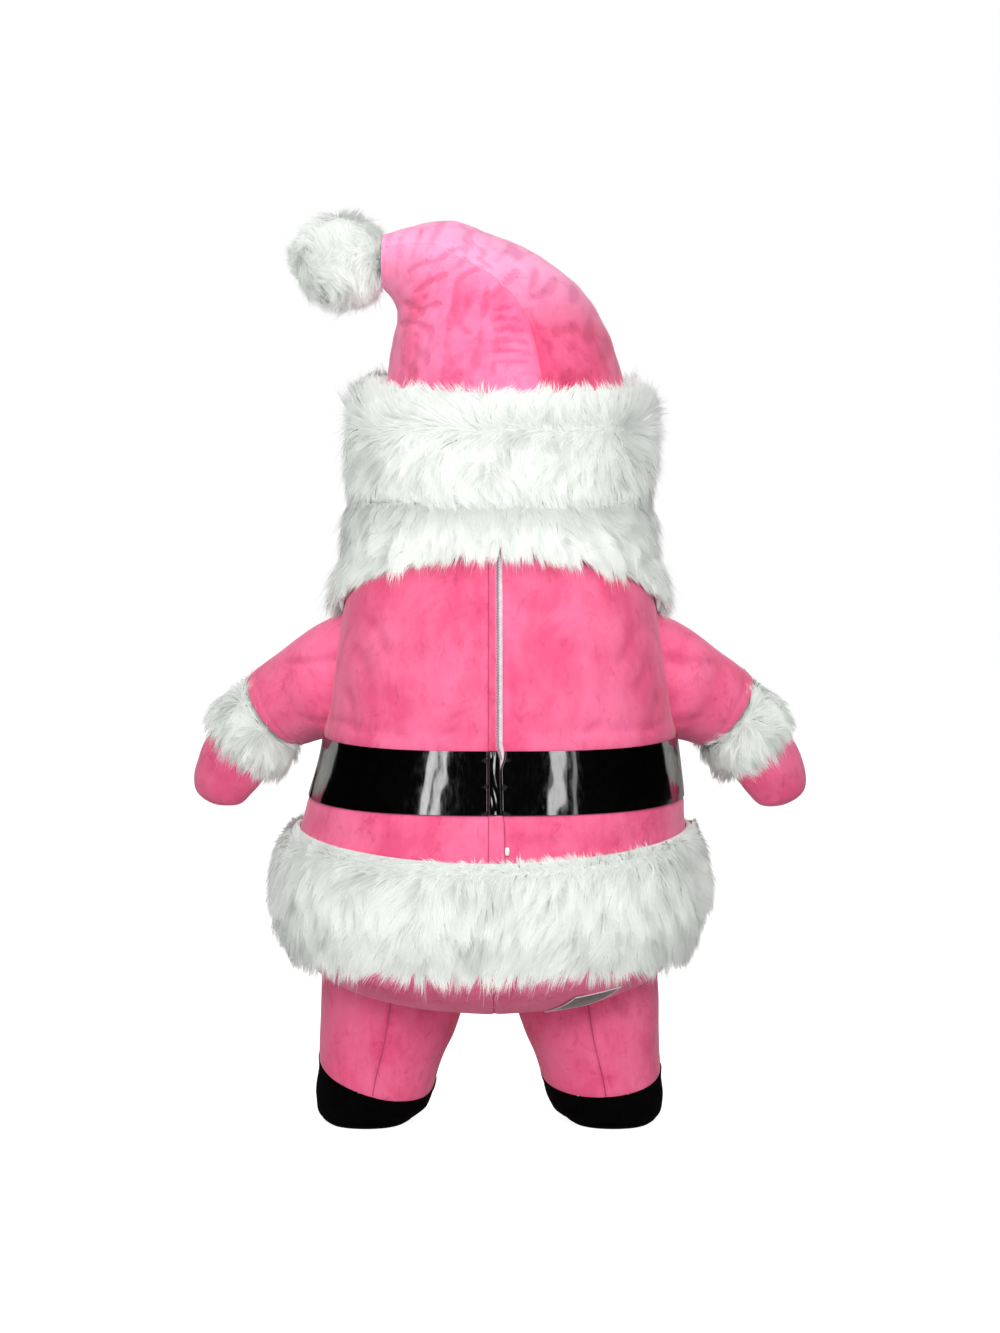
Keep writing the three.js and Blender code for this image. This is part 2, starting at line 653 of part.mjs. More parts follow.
function buildHem() {
  const rows = 6;
  const outer = (u, v, i) => {
    const angle = u * TURN;
    const ragged = v === 1 ? 9 * Math.sin(2.7 * i) * Math.cos(1.9 * i) : 0;
    const height = mix(hemTop(angle) + 16 * (1 - v) ** 3, hemBottom(angle) + ragged, v);
    const reach = look(HEM_FUR, "share", "reach", v) + locks(angle, v);
    return movedLevel(bodyPoint(angle, Math.max(height, BASE.rim)), reach).setZ(height);
  };
  const inner = (u, v) => {
    const angle = u * TURN;
    const height = mix(hemTop(angle), hemBottom(angle), v);
    const gap = v === 0 ? 2 * SEAM : 8 * SEAM;
    return movedLevel(bodyPoint(angle, Math.max(height, BASE.rim)), gap).setZ(height);
  };
  place("hem_fur", wall(COLUMNS, rows, true, outer, inner), materials.fur);
}

function buildHat() {
  const rows = 8;
  // The seam at the back is to the wearer's right of the middle.
  for (const [name, start, columns] of [
    ["hat_left", -QUARTER, 11],
    ["hat_right", QUARTER + HAT_COLUMN, 9],
  ]) {
    const skin = (distance) => (u, v) => {
      const edge = (SEAM / 2 / mix(270, 62, v)) * (u === 0 ? 1 : u === 1 ? -1 : 0);
      return hatPoint(start + u * columns * HAT_COLUMN + edge, v, distance);
    };
    place(name, wall(columns, rows, false, skin(0), skin(-CLOTH)), materials.plush);
  }
  const tip = filled(20, rows, (u, v) => hatPoint(u * TURN, v, SEAM));
  const ball = filled(16, 10, (u, v) => {
    const tilt = Math.max(Math.sin(v * Math.PI), 0);
    const grow = 1 + 0.03 * Math.sin(5 * u * TURN + 6 * v) * tilt;
    return new THREE.Vector3(
      POMPOM.x - POMPOM.halfX * Math.cos(v * Math.PI),
      POMPOM.halfY * tilt * grow * Math.cos(u * TURN),
      POMPOM.height + POMPOM.halfZ * tilt * grow * Math.sin(u * TURN),
    );
  });
  place("pompom", ball.subtract(tip), materials.fur);
}

function buildHead() {
  const brimOuter = (u, v) => {
    const angle = u * TURN;
    const height = mix(brimLow(angle) + SEAM, brimHigh(angle) + FUR_LIFT, v);
    const reach = look(BRIM_FUR, "share", "reach", v) + locks(angle, v) - 24 * v ** 6;
    return movedLevel(headPoint(angle, height), reach);
  };
  const brimInner = (u, v) => {
    const low = headPoint(u * TURN, brimLow(u * TURN) + SEAM);
    return low.lerp(hatPoint(u * TURN, 0).setZ(brimHigh(u * TURN) - SEAM), v);
  };
  place("brim_fur", wall(COLUMNS, 6, true, brimOuter, brimInner), materials.fur);

  const hairStart = FRONT + BEARD_SPAN * STEP - TURN;
  const hairColumns = COLUMNS - 2 * BEARD_SPAN;
  const seam = SEAM / 2 / 320;
  const hairAngle = (u) => hairStart + u * hairColumns * STEP + (u === 0 ? seam : u === 1 ? -seam : 0);
  const hairOuter = (u, v, i) => {
    const angle = hairAngle(u);
    const ragged = v === 1 ? 8 * Math.sin(2.3 * i) : 0;
    const height = mix(brimLow(angle), hairBottom(angle) + ragged, v);
    return movedLevel(liningPoint(angle, height), look(HAIR_FUR, "share", "reach", v) + locks(angle, v));
  };
  const hairInner = (u, v) => {
    const angle = hairAngle(u);
    return liningPoint(angle, mix(brimLow(angle), hairBottom(angle), v));
  };
  place("hair_fur", wall(hairColumns, 6, false, hairOuter, hairInner), materials.fur);

  const beardAngle = (u) =>
    FRONT + mix(-BEARD_SPAN, BEARD_SPAN, u) * STEP + (u === 0 ? seam : u === 1 ? -seam : 0);
  const beardOuter = (u, v, i) => {
    const angle = beardAngle(u);
    const { top, bottom } = beardEdges(angle);
    const ragged = v === 1 ? 9 * Math.sin(2.5 * i) : 0;
    const height = mix(top, bottom + ragged, v);
    const front = BEARD.extra * Math.cos(angle - FRONT) ** 2 * Math.sin(Math.PI * v);
    const reach = look(HAIR_FUR, "share", "reach", v) + front + locks(angle, v);
    return movedLevel(liningPoint(angle, height), reach);
  };
  const beardInner = (u, v) => {
    const { top, bottom } = beardEdges(beardAngle(u));
    return liningPoint(beardAngle(u), mix(top, bottom, v));
  };
  place("beard_fur", wall(2 * BEARD_SPAN, 8, false, beardOuter, beardInner), materials.fur);
}

// Half of a round lump that bulges from the middle of the face panel's thickness.
function faceLump(angle, height, halfWidth, halfHeight, halfDepth) {
  const middle = headPoint(angle, height);
  const out = new THREE.Vector3(middle.x, middle.y, 0).normalize();
  const across = new THREE.Vector3(-out.y, out.x, 0);
  return filled(14, 5, (u, v) => {
    const open = mix(QUARTER, 0, v);
    const ring = Math.sin(open);
    return middle
      .clone()
      .addScaledVector(out, halfDepth * Math.cos(open))
      .addScaledVector(across, halfWidth * ring * Math.cos(u * TURN))
      .setZ(height + halfHeight * ring * Math.sin(u * TURN));
  });
}

function buildFace() {
  const edges = (angle) => {
    const away = Math.round(Math.abs(angle - FRONT) / STEP);
    const top = brimLow(angle) - SEAM;
    return { top, bottom: away === FACE_SPAN ? top : beardEdges(angle).top + 4 * SEAM };
  };
  const skin = (distance) => (u, v) => {
    const angle = FRONT + mix(-FACE_SPAN, FACE_SPAN, u) * STEP;
    const { top, bottom } = edges(angle);
    return movedLevel(headPoint(angle, mix(bottom, top, v)), distance);
  };
  place("face", wall(2 * FACE_SPAN, 4, false, skin(CLOTH), skin(0)), materials.skin);
  const backing = wall(2 * FACE_SPAN, 4, false, skin(CLOTH + SEAM), skin(-2 * NOSE.halfDepth));
  for (const side of [1, -1]) {
    const angle = FRONT + side * EYE.angle;
    const eye = faceLump(angle, EYE.height, EYE.halfWidth, EYE.halfHeight, EYE.halfDepth);
    place("eye_" + sideName(side), eye.subtract(backing), materials.eye);
  }
  const nose = faceLump(FRONT, NOSE.height, NOSE.halfWidth, NOSE.halfHeight, NOSE.halfDepth);
  place("nose", nose.subtract(backing), materials.nose);

  const lump = (grow) =>
    faceLump(FRONT, NOSE.height, NOSE.halfWidth + grow, NOSE.halfHeight + grow, NOSE.halfDepth + grow);
  for (const side of [1, -1]) {
    const lobe = filled(10, 7, (u, v) => {
      const get = (name) => look(MOUSTACHE, "share", name, v);
      const radius = get("radius");
      const middle = headPoint(FRONT + side * get("angle"), get("height"));
      const out = new THREE.Vector3(middle.x, middle.y, 0).normalize();
      return middle
        .addScaledVector(out, CLOTH + 1 + radius * (1 + Math.cos(u * TURN)))
        .setZ(get("height") + radius * Math.sin(u * TURN));
    });
    place("moustache_" + sideName(side), lobe.subtract(lump(SEAM)), materials.fur);
  }
}

// The grey mesh window in the base, seen just under the hem at the back.
function buildVent() {
  const skin = (distance) => (u, v) => {
    const angle = mix(VENT.startAngle, VENT.endAngle, u);
    const height = mix(VENT.low, VENT.high, v) + VENT.slant * u;
    return movedOut(bodyPoint, angle, height, distance);
  };
  place("vent_mesh", wall(4, 2, false, skin(VENT.lift + VENT.thick), skin(VENT.lift)), materials.mesh);
}

buildBody();
buildBase();
buildLegs();
buildArms();
buildBeltAndZip();
buildHem();
buildHat();
buildHead();
buildFace();
buildVent();
costume.position.z = -SHOULDER_HEIGHT;

export default costume;
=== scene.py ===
"""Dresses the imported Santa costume: velour panels with their nap and creases, a patent belt, a back zip with
teeth, and fur made of strands. Tables are in millimetres above the floor, as the solids were drawn."""
import math
from functools import partial

import bpy
import numpy as np
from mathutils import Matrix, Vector


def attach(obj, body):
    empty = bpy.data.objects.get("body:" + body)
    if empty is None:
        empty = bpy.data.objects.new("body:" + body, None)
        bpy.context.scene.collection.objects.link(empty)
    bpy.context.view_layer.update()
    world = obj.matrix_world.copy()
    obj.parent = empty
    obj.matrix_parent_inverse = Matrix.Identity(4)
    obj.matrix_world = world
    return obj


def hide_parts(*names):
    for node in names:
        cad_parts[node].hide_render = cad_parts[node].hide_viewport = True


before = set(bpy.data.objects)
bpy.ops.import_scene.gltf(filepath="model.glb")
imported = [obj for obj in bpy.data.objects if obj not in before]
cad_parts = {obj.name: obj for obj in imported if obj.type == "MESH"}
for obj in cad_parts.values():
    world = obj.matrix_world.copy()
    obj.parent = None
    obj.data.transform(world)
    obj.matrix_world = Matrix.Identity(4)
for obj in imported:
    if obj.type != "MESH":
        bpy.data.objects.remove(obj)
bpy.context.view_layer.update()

BODY_NAME = "root"

MM = 0.001
SHOULDER_HEIGHT = 1400
TURN = 2 * math.pi
QUARTER = math.pi / 2
FRONT = 1.5 * math.pi
CLOTH = 3
SEAM = 0.3
FULLNESS = 0.045


def table(names, rows):
    """Named columns of a short table."""
    return dict(zip(names.split(), np.array(rows, float).T))


BODY = table("height half_width back front", [
    (1400, 165, 125, 125),
    (1385, 222, 170, 170),
    (1350, 275, 213, 214),
    (1290, 322, 260, 264),
    (1220, 348, 297, 308),
    (1143, 364, 322, 340),
    (1050, 384, 338, 368),
    (868, 405, 358, 398),
    (732, 430, 375, 416),
    (640, 446, 386, 426),
    (540, 450, 388, 427),
    (420, 432, 372, 408),
])
HEAD = table("height half_width back front", [
    (1120, 326, 286, 300),
    (1230, 326, 298, 320),
    (1300, 322, 300, 332),
    (1400, 322, 305, 340),
    (1470, 322, 308, 338),
    (1560, 322, 305, 330),
    (1760, 322, 300, 318),
])
HAT = table("row left_x left_z right_x right_z half_depth drop", [
    (0, 262, 1690, -290, 1684, 262, 55),
    (1, 247, 1789, -249, 1800, 240, 40),
    (2, 238, 1835, -184, 1905, 208, 28),
    (3, 238, 1852, -95, 1978, 176, 19),
    (4, 244, 1868, 5, 2026, 146, 12),
    (5, 253, 1884, 114, 2062, 114, 6),
    (6, 262, 1896, 194, 2050, 84, 2),
    (7, 272, 1909, 268, 2031, 62, 0),
])
LEG = table("height centre_x half_width back front", [
    (470, 203, 176, 174, 176),
    (300, 219, 167, 158, 162),
    (200, 235, 154, 149, 152),
    (150, 247, 143, 144, 152),
    (110, 256, 138, 142, 174),
    (70, 263, 135, 140, 202),
    (35, 269, 127, 134, 214),
    (12, 278, 107, 122, 204),
    (0, 279, 92, 107, 190),
])
ARM = table("station x y z", [
    (0, 250, 2, 1052),
    (1, 384, -6, 1003),
    (2, 452, -25, 974),
    (3, 520, -50, 937),
    (4, 560, -67, 898),
    (5, 597, -82, 852),
    (6, 627, -95, 810),
    (7, 650, -106, 768),
    (8, 665, -113, 732),
    (9, 671, -116, 713),
])
SLEEVE = table("station half_height half_depth", [
    (0, 146, 132),
    (1, 134, 122),
    (2, 113, 109),
    (3, 101, 98),
])
MITTEN = table("station half_height half_depth", [
    (3.1, 76, 66),
    (4, 80, 69),
    (5, 83, 69),
    (6, 83, 66),
    (7, 79, 60),
    (9, 76, 56),
])
THUMB = table("station x y z radius", [
    (0, 590, -112, 826, 26),
    (1, 584, -138, 798, 31),
    (2, 591, -155, 766, 31),
    (3, 602, -165, 740, 31),
])
CUFF = table("station reach", [
    (3.005, 25),
    (3.4, 42),
    (4, 48),
    (4.6, 42),
    (5, 14),
])
HEM_FUR = table("share reach", [
    (0, 34),
    (0.12, 74),
    (0.42, 90),
    (0.62, 70),
    (0.86, 44),
    (1, 14),
])
BRIM_FUR = table("share reach", [
    (0, 36),
    (0.18, 46),
    (0.52, 73),
    (0.7, 84),
    (0.88, 84),
    (1, 40),
])
HAIR_FUR = table("share reach", [
    (0, 36),
    (0.14, 57),
    (0.5, 66),
    (0.8, 50),
    (1, 10),
])
MOUSTACHE = table("share angle height radius", [
    (0, 0.035, 1306, 24),
    (0.3, 0.16, 1304, 33),
    (0.6, 0.33, 1301, 29),
    (0.85, 0.47, 1304, 18),
    (1, 0.54, 1308, 0),
])
BELT_TOP, BELT_BOTTOM, BELT_RISE = 868, 732, 16
BASE_RIM, BASE_DEPTH, BASE_SEAM_X = 420, 166, 12
LEAN_REACH, LEAN_FROM, LEAN_TO = 24, 868, 560
POMPOM_X, POMPOM_Z, POMPOM_HALF_X, POMPOM_HALF_Y, POMPOM_HALF_Z = 366, 1971, 116, 114, 120
BEARD_TOP, BEARD_BOTTOM, BEARD_SIDE, BEARD_EXTRA = 1262, 955, 1166, 26
COLUMN = TURN / 40
BELT_REACH = 418
FACE_SPAN, BEARD_SPAN, BEARD_SIDE_SPAN = 6, 11, 8.4
FACE_FLAT_SPAN = 2.5
BRIM_LOW, BRIM_LOW_BACK = 1422, 24
HEM_TOP, HEM_TOP_SIDE = 622, 48
HEM_BOTTOM, HEM_BOTTOM_SIDE = 374, 22
HAIR_BOTTOM, HAIR_SIDE = 1290, 136
BOOT_MEAN, BOOT_BACK, BOOT_SIDES = 112, 31, 2.5
BOOT_OUTER = {1: 36, -1: 8}
SOLE = 12
LEG_TOP = 400
SLEEVE_START, SLEEVE_END = 0.3, 3
CUFF_START, CUFF_END = 3.005, 5
HAND_START, HAND_ROUND, HAND_END, ARM_END = 3.06, 6.2, 8.995, 9
HAND_HEART = 8.2
THUMB_ROUND, THUMB_HEART, THUMB_TIP, THUMB_END = 1.6, 2.4, 2.995, 3
HAT_SEAM = QUARTER + TURN / 20
LAID = 1.6
FUR_LIFT = 24
STEP = 1e-3
WAVE_COUNT = 5
# Thinner fur for quick tries.
DENSITY = 1


def metres(points):
    """Points in millimetres above the floor, as metres in the frame."""
    moved = np.array(points, float)
    moved[..., 2] -= SHOULDER_HEIGHT
    return moved * MM


def mix(a, b, t):
    return a + (b - a) * t


def smooth(value, low, high):
    t = np.clip((np.asarray(value, float) - low) / (high - low), 0, 1)
    return t * t * (3 - 2 * t)


def unit(vectors):
    return vectors / np.maximum(np.linalg.norm(vectors, axis=-1, keepdims=True), 1e-9)


def stack(x, y, z):
    return np.stack(np.broadcast_arrays(x, y, z), axis=-1)


def look(rows, key, name, at):
    """Smooth value of a table's column, with no overshoot between its rows."""
    order = np.argsort(rows[key])
    keys, values = rows[key][order], rows[name][order]
    secant = np.diff(values) / np.diff(keys)
    before, after = secant[:-1], secant[1:]
    same = before * after > 0
    middle = np.where(same, 2 * before * after / np.where(same, before + after, 1), 0)
    slope = np.concatenate([secant[:1], middle, secant[-1:]])
    place = np.clip(np.asarray(at, float), keys[0], keys[-1])
    i = np.clip(np.searchsorted(keys, place, side="left") - 1, 0, len(keys) - 2)
    span = keys[i + 1] - keys[i]
    t = (place - keys[i]) / span
    curve = values[i] * (1 + 2 * t) * (1 - t) ** 2 + values[i + 1] * t * t * (3 - 2 * t)
    return curve + span * t * (1 - t) * (slope[i] * (1 - t) - slope[i + 1] * t)


def lean(height):
    """How far a section's middle lies towards the wearer's left."""
    return LEAN_REACH * smooth(LEAN_FROM - np.asarray(height, float), 0, LEAN_FROM - LEAN_TO)


def on_section(half_width, back, front, angle, height, centre_x=0):
    full = 1 + FULLNESS * np.sin(2 * angle) ** 2
    depth = np.where(np.sin(angle) > 0, back, front)
    return stack(centre_x + half_width * np.cos(angle) * full, depth * np.sin(angle) * full, height)


def section(rows, height):
    return [look(rows, "height", name, height) for name in ("half_width", "back", "front")]


def body_section(height):
    under = np.clip((BASE_RIM - np.asarray(height, float)) / BASE_DEPTH, 0, 0.9999)
    scale = np.sqrt(1 - under * under)
    return [size * scale for size in section(BODY, np.maximum(height, BASE_RIM))]


def body_point(angle, height):
    return on_section(*body_section(height), angle, height, lean(height))


def head_point(angle, height):
    return on_section(*section(HEAD, height), angle, height)


def lining_point(angle, height):
    """What the hair and beard lie on: the shoulders low down, the head's hollow higher up."""
    head = section(HEAD, height)
    body = body_section(height)
    low = np.asarray(height) < SHOULDER_HEIGHT
    sizes = [np.maximum(h, np.where(low, b + LAID, h)) for h, b in zip(head, body)]
    return on_section(*sizes, angle, height)


def leg_point(side, angle, height, distance):
    sizes = [size + distance for size in section(LEG, height)]
    point = on_section(*sizes, angle, height, look(LEG, "height", "centre_x", height))
    point[..., 0] = side * point[..., 0] + lean(height)
    return point


def boot_top(side, angle):
    level = BOOT_MEAN + BOOT_OUTER[side] * np.cos(angle) - BOOT_BACK * np.sin(angle)
    return level + BOOT_SIDES * np.cos(2 * angle)


def arm_frame(station):
    """Middle of the arm at a station, with the directions along it, up and in depth."""
    station = np.asarray(station, float)

    def at(s):
        return stack(*[look(ARM, "station", name, s) for name in "xyz"])

    nudge = 0.05
    along = unit(at(np.minimum(station + nudge, ARM_END)) - at(np.maximum(station - nudge, 0)))
    up = unit(np.array([0, 0, 1.0]) - along * along[..., 2:])
    return at(station), along, up, np.cross(along, up)


def mirrored(points, side):
    points = np.array(points, float)
    points[..., 0] *= side
    return points


def arm_point(side, rows, angle, station, distance):
    centre, _, up, deep = arm_frame(station)
    height = np.maximum(look(rows, "station", "half_height", station) + distance, 0)
    depth = np.maximum(look(rows, "station", "half_depth", station) + distance, 0)
    ring = (height * np.sin(angle))[..., None] * up + (depth * np.cos(angle))[..., None] * deep
    return mirrored(centre + ring, side)


def round_end(at, start, tip):
    share = np.maximum(np.asarray(at, float) - start, 0) / (tip - start)
    return np.sqrt(np.maximum(1 - share ** 2, 0))


def hand_point(side, angle, station):
    close = round_end(station, HAND_ROUND, ARM_END)
    centre = arm_frame(station)[0]
    ring = mirrored(arm_point(side, MITTEN, angle, station, 0), side) - centre
    return mirrored(centre + ring * close[..., None], side)


def thumb_point(side, angle, station):
    radius = look(THUMB, "station", "radius", station) * round_end(station, THUMB_ROUND, THUMB_END)
    x, y, z = [look(THUMB, "station", name, station) for name in "xyz"]
    return mirrored(stack(x + np.cos(angle) * radius, y + np.sin(angle) * radius, z), side)


def hat_point(angle, share):
    row = np.asarray(share, float) * (len(HAT["row"]) - 1)
    get = {name: look(HAT, "row", name, row) for name in HAT if name != "row"}
    left = stack(get["left_x"], 0 * row, get["left_z"])
    right = stack(get["right_x"], 0 * row, get["right_z"])
    across = (left - right) / 2
    deep = stack(0 * row, get["half_depth"], -get["drop"])
    return (left + right) / 2 + across * np.cos(angle)[..., None] + deep * np.sin(angle)[..., None]


def brim_low(angle):
    return BRIM_LOW - BRIM_LOW_BACK * np.sin(angle)


def brim_high(angle):
    angle = np.asarray(angle, float)
    return hat_point(angle, 0 * angle)[..., 2]


def hem_top(angle):
    return HEM_TOP + HEM_TOP_SIDE * np.cos(angle) ** 2


def hem_bottom(angle):
    return HEM_BOTTOM - HEM_BOTTOM_SIDE * np.cos(angle) ** 2


def hair_bottom(angle):
    return HAIR_BOTTOM - HAIR_SIDE * np.abs(np.cos(angle)) ** 2.4


def beard_edges(angle):
    """Heights of the beard's upper and lower edge."""
    away = np.abs(angle - FRONT) / COLUMN
    rise = np.clip((away - FACE_FLAT_SPAN) / (FACE_SPAN - FACE_FLAT_SPAN), 0, 1) ** 2
    rim = np.clip(away / BEARD_SIDE_SPAN, 0, 1) ** 2.2
    return mix(BEARD_TOP, brim_low(angle) - 1, rise), mix(BEARD_BOTTOM, BEARD_SIDE, rim)


def moved_level(points, distance):
    """Points moved level, away from the upright line through the middle."""
    out = points * np.array([1, 1, 0])
    return points + unit(out) * np.asarray(distance, float)[..., None]


def normals_of(surface, u, v):
    """Unit normals of a surface of two values, on either side of it."""
    across = surface(u + STEP, v) - surface(u - STEP, v)
    down = surface(u, v + STEP) - surface(u, v - STEP)
    return unit(np.cross(across, down))


def waves(points, size, seed):
    """Smooth noise from -1 to 1 over points, with lumps of about the given size."""
    rng = np.random.default_rng(seed)
    total = np.zeros(points.shape[:-1])
    for _ in range(WAVE_COUNT):
        direction = unit(rng.normal(size=3))
        pitch = TURN / (size * rng.uniform(0.7, 1.6))
        total += np.sin(points @ direction * pitch + rng.uniform(0, TURN))
    return total / WAVE_COUNT ** 0.75


def grooves(x, z, creases):
    """Sum of soft troughs (depth above 0) and ridges (below 0), each along a line, fading at its ends."""
    total = np.zeros(np.broadcast(x, z).shape)
    for x1, z1, x2, z2, width, depth in creases:
        dx, dz = x2 - x1, z2 - z1
        length = math.hypot(dx, dz)
        along = ((x - x1) * dx + (z - z1) * dz) / length ** 2
        bow = 0.06 * length * np.sin(np.pi * np.clip(along, 0, 1))
        off = ((x - x1) * dz - (z - z1) * dx) / length - bow
        fade = smooth(along, -0.15, 0.3) * (1 - smooth(along, 0.6, 1.15))
        total -= depth * fade * np.exp(-((off / width) ** 2))
    return total


# Materials

def new_material(name, **sockets):
    material = bpy.data.materials.new(name)
    material.use_nodes = True
    shader = material.node_tree.nodes["Principled BSDF"]
    for socket, value in sockets.items():
        shader.inputs[socket.replace("_", " ")].default_value = value
    return material, material.node_tree, shader


def node(tree, kind, **values):
    made = tree.nodes.new(kind)
    for name, value in values.items():
        if name in made.inputs:
            made.inputs[name].default_value = value
        else:
            setattr(made, name, value)
    return made


def settings(made, **sockets):
    for name, value in sockets.items():
        made.inputs[name.replace("_", " ")].default_value = value
    return made


def link(tree, *pairs):
    for output, socket in pairs:
        tree.links.new(output, socket)


def linear(r, g, b):
    """An sRGB colour from 0 to 255 as the linear colour that sockets take."""
    def one(c):
        c /= 255
        return c / 12.92 if c <= 0.04045 else ((c + 0.055) / 1.055) ** 2.4
    return one(r), one(g), one(b), 1


def dulled(color, share):
    return tuple(share * c for c in color[:3]) + (1,)


def noise(tree, scale, detail=2.0, stretch=(1, 1, 1), roughness=0.5, distortion=0.0):
    """A noise texture over the object's own coordinates, stretched by axis."""
    coordinates = node(tree, "ShaderNodeTexCoord")
    mapping = node(tree, "ShaderNodeMapping")
    mapping.inputs["Scale"].default_value = stretch
    texture = node(tree, "ShaderNodeTexNoise", Scale=scale, Detail=detail, Roughness=roughness)
    texture.inputs["Distortion"].default_value = distortion
    tree.links.new(coordinates.outputs["Object"], mapping.inputs["Vector"])
    tree.links.new(mapping.outputs["Vector"], texture.inputs["Vector"])
    return texture.outputs["Fac"]


def ramp(tree, factor, *stops):
    made = node(tree, "ShaderNodeValToRGB")
    elements = made.color_ramp.elements
    while len(elements) < len(stops):
        elements.new(0.5)
    for element, (position, color) in zip(elements, stops):
        element.position = position
        element.color = color
    tree.links.new(factor, made.inputs["Fac"])
    return made.outputs["Color"]


def blend_colors(tree, kind, factor, first, second):
    made = node(tree, "ShaderNodeMix", data_type="RGBA", blend_type=kind)
    if isinstance(factor, float):
        made.inputs["Factor"].default_value = factor
    else:
        tree.links.new(factor, made.inputs["Factor"])
    for value, socket in ((first, made.inputs[6]), (second, made.inputs[7])):
        if isinstance(value, tuple):
            socket.default_value = value
        else:
            tree.links.new(value, socket)
    return made.outputs[2]


def bump(tree, shader, *layers):
    """Chains bump layers, each a height output with its strength and its distance in metres."""
    previous = None
    for height, strength, distance in layers:
        made = node(tree, "ShaderNodeBump", Strength=strength, Distance=distance)
        tree.links.new(height, made.inputs["Height"])
        if previous is not None:
            tree.links.new(previous, made.inputs["Normal"])
        previous = made.outputs["Normal"]
    tree.links.new(previous, shader.inputs["Normal"])


WHITE = (1, 1, 1, 1)
PAINTED_LIGHT_OVER = 0.16


def velour(name, light, middle, deep, sheen=0.4, speckle=0.75, gloss=0.12, painted_light_from=None):
    """Short-pile velour: soft patches where the nap lies another way, faint streaks and a fine pile."""
    material, tree, shader = new_material(name, Roughness=0.86, Sheen_Weight=sheen, Sheen_Roughness=0.5)
    shader.inputs["Sheen Tint"].default_value = linear(255, 214, 226)
    shader.inputs["Specular IOR Level"].default_value = gloss
    patches = noise(tree, 7.5, 6, (1, 1, 0.7), 0.62, 0.3)
    color = ramp(tree, patches, (0.4, deep), (0.5, middle), (0.62, light))
    if painted_light_from is not None:
        # Higher up the colour is blended towards a pale pink: painted light from the lamps above, together with
        # a pile brushed the other way.
        place = node(tree, "ShaderNodeSeparateXYZ")
        rise = settings(node(tree, "ShaderNodeMapRange"), From_Min=painted_light_from, From_Max=painted_light_from + PAINTED_LIGHT_OVER)
        link(tree, (node(tree, "ShaderNodeTexCoord").outputs["Object"], place.inputs["Vector"]),
             (place.outputs["Z"], rise.inputs["Value"]))
        color = blend_colors(tree, "MIX", rise.outputs["Result"], color, linear(253, 166, 205))
    streaks = noise(tree, 26, 4, (1, 1, 0.14), 0.6, 0.2)
    streaked = ramp(tree, streaks, (0.38, (0.93, 0.86, 0.89, 1)), (0.55, WHITE))
    color = blend_colors(tree, "MULTIPLY", 0.5, color, streaked)
    # Short dark marks where the pile is crushed.
    marks = noise(tree, 34, 5, (1, 1, 0.7), 0.68, 0.6)
    crushed = ramp(tree, marks, (0.34, (0.84, 0.7, 0.75, 1)), (0.44, WHITE))
    color = blend_colors(tree, "MULTIPLY", speckle, color, crushed)
    lines = noise(tree, 13, 5, (1, 1, 0.8), 0.62, 1.1)
    lined = ramp(tree, lines, (0.482, WHITE), (0.5, (0.92, 0.84, 0.87, 1)), (0.518, WHITE))
    where = ramp(tree, noise(tree, 9, 2), (0.5, (0, 0, 0, 1)), (0.6, WHITE))
    color = blend_colors(tree, "MULTIPLY", where, color, lined)
    # Painted shade: the pile's colour is darkened in the creases, where the relief would be shaded.
    crease_shade = node(tree, "ShaderNodeAttribute", attribute_name="crease_shade").outputs["Fac"]
    color = blend_colors(tree, "MULTIPLY", crease_shade, color, (0.84, 0.7, 0.77, 1))
    pile = noise(tree, 900, 2)
    piled = ramp(tree, pile, (0.3, (0.9, 0.86, 0.88, 1)), (0.7, WHITE))
    color = blend_colors(tree, "MULTIPLY", 0.8, color, piled)
    tree.links.new(color, shader.inputs["Base Color"])
    bump(tree, shader, (noise(tree, 36, 4, (1, 1, 0.7)), 0.3, 0.004), (pile, 0.3, 0.0008))
    return material


def fur_material(name, light, dark):
    """Long pile: each strand's shade is in the mesh, varied at random from strand to strand and darker at its
    root as painted shade between the strands.
    """
    material, tree, shader = new_material(name, Roughness=0.8, Sheen_Weight=0.6, Sheen_Roughness=0.6)
    shader.inputs["Specular IOR Level"].default_value = 0.2
    attribute = node(tree, "ShaderNodeAttribute", attribute_name="shade")
    color = ramp(tree, attribute.outputs["Fac"], (0.0, dark), (1.0, light))
    tinted = ramp(tree, noise(tree, 14, 3), (0.35, (0.95, 0.965, 0.955, 1)), (0.6, WHITE))
    color = blend_colors(tree, "MULTIPLY", 0.8, color, tinted)
    tree.links.new(color, shader.inputs["Base Color"])
    bump(tree, shader, (noise(tree, 500, 2, (1, 1, 0.2)), 0.2, 0.0008))
    return material


def fur_backing(name, color):
    """The knitted backing between the strands' roots."""
    material, tree, shader = new_material(name, Roughness=0.95, Sheen_Weight=0.2)
    shaded = ramp(tree, noise(tree, 90, 4, (1, 1, 0.4)), (0.3, dulled(color, 0.8)), (0.7, color))
    tree.links.new(shaded, shader.inputs["Base Color"])
    bump(tree, shader, (noise(tree, 220, 3, (1, 1, 0.3)), 0.6, 0.003))
    return material


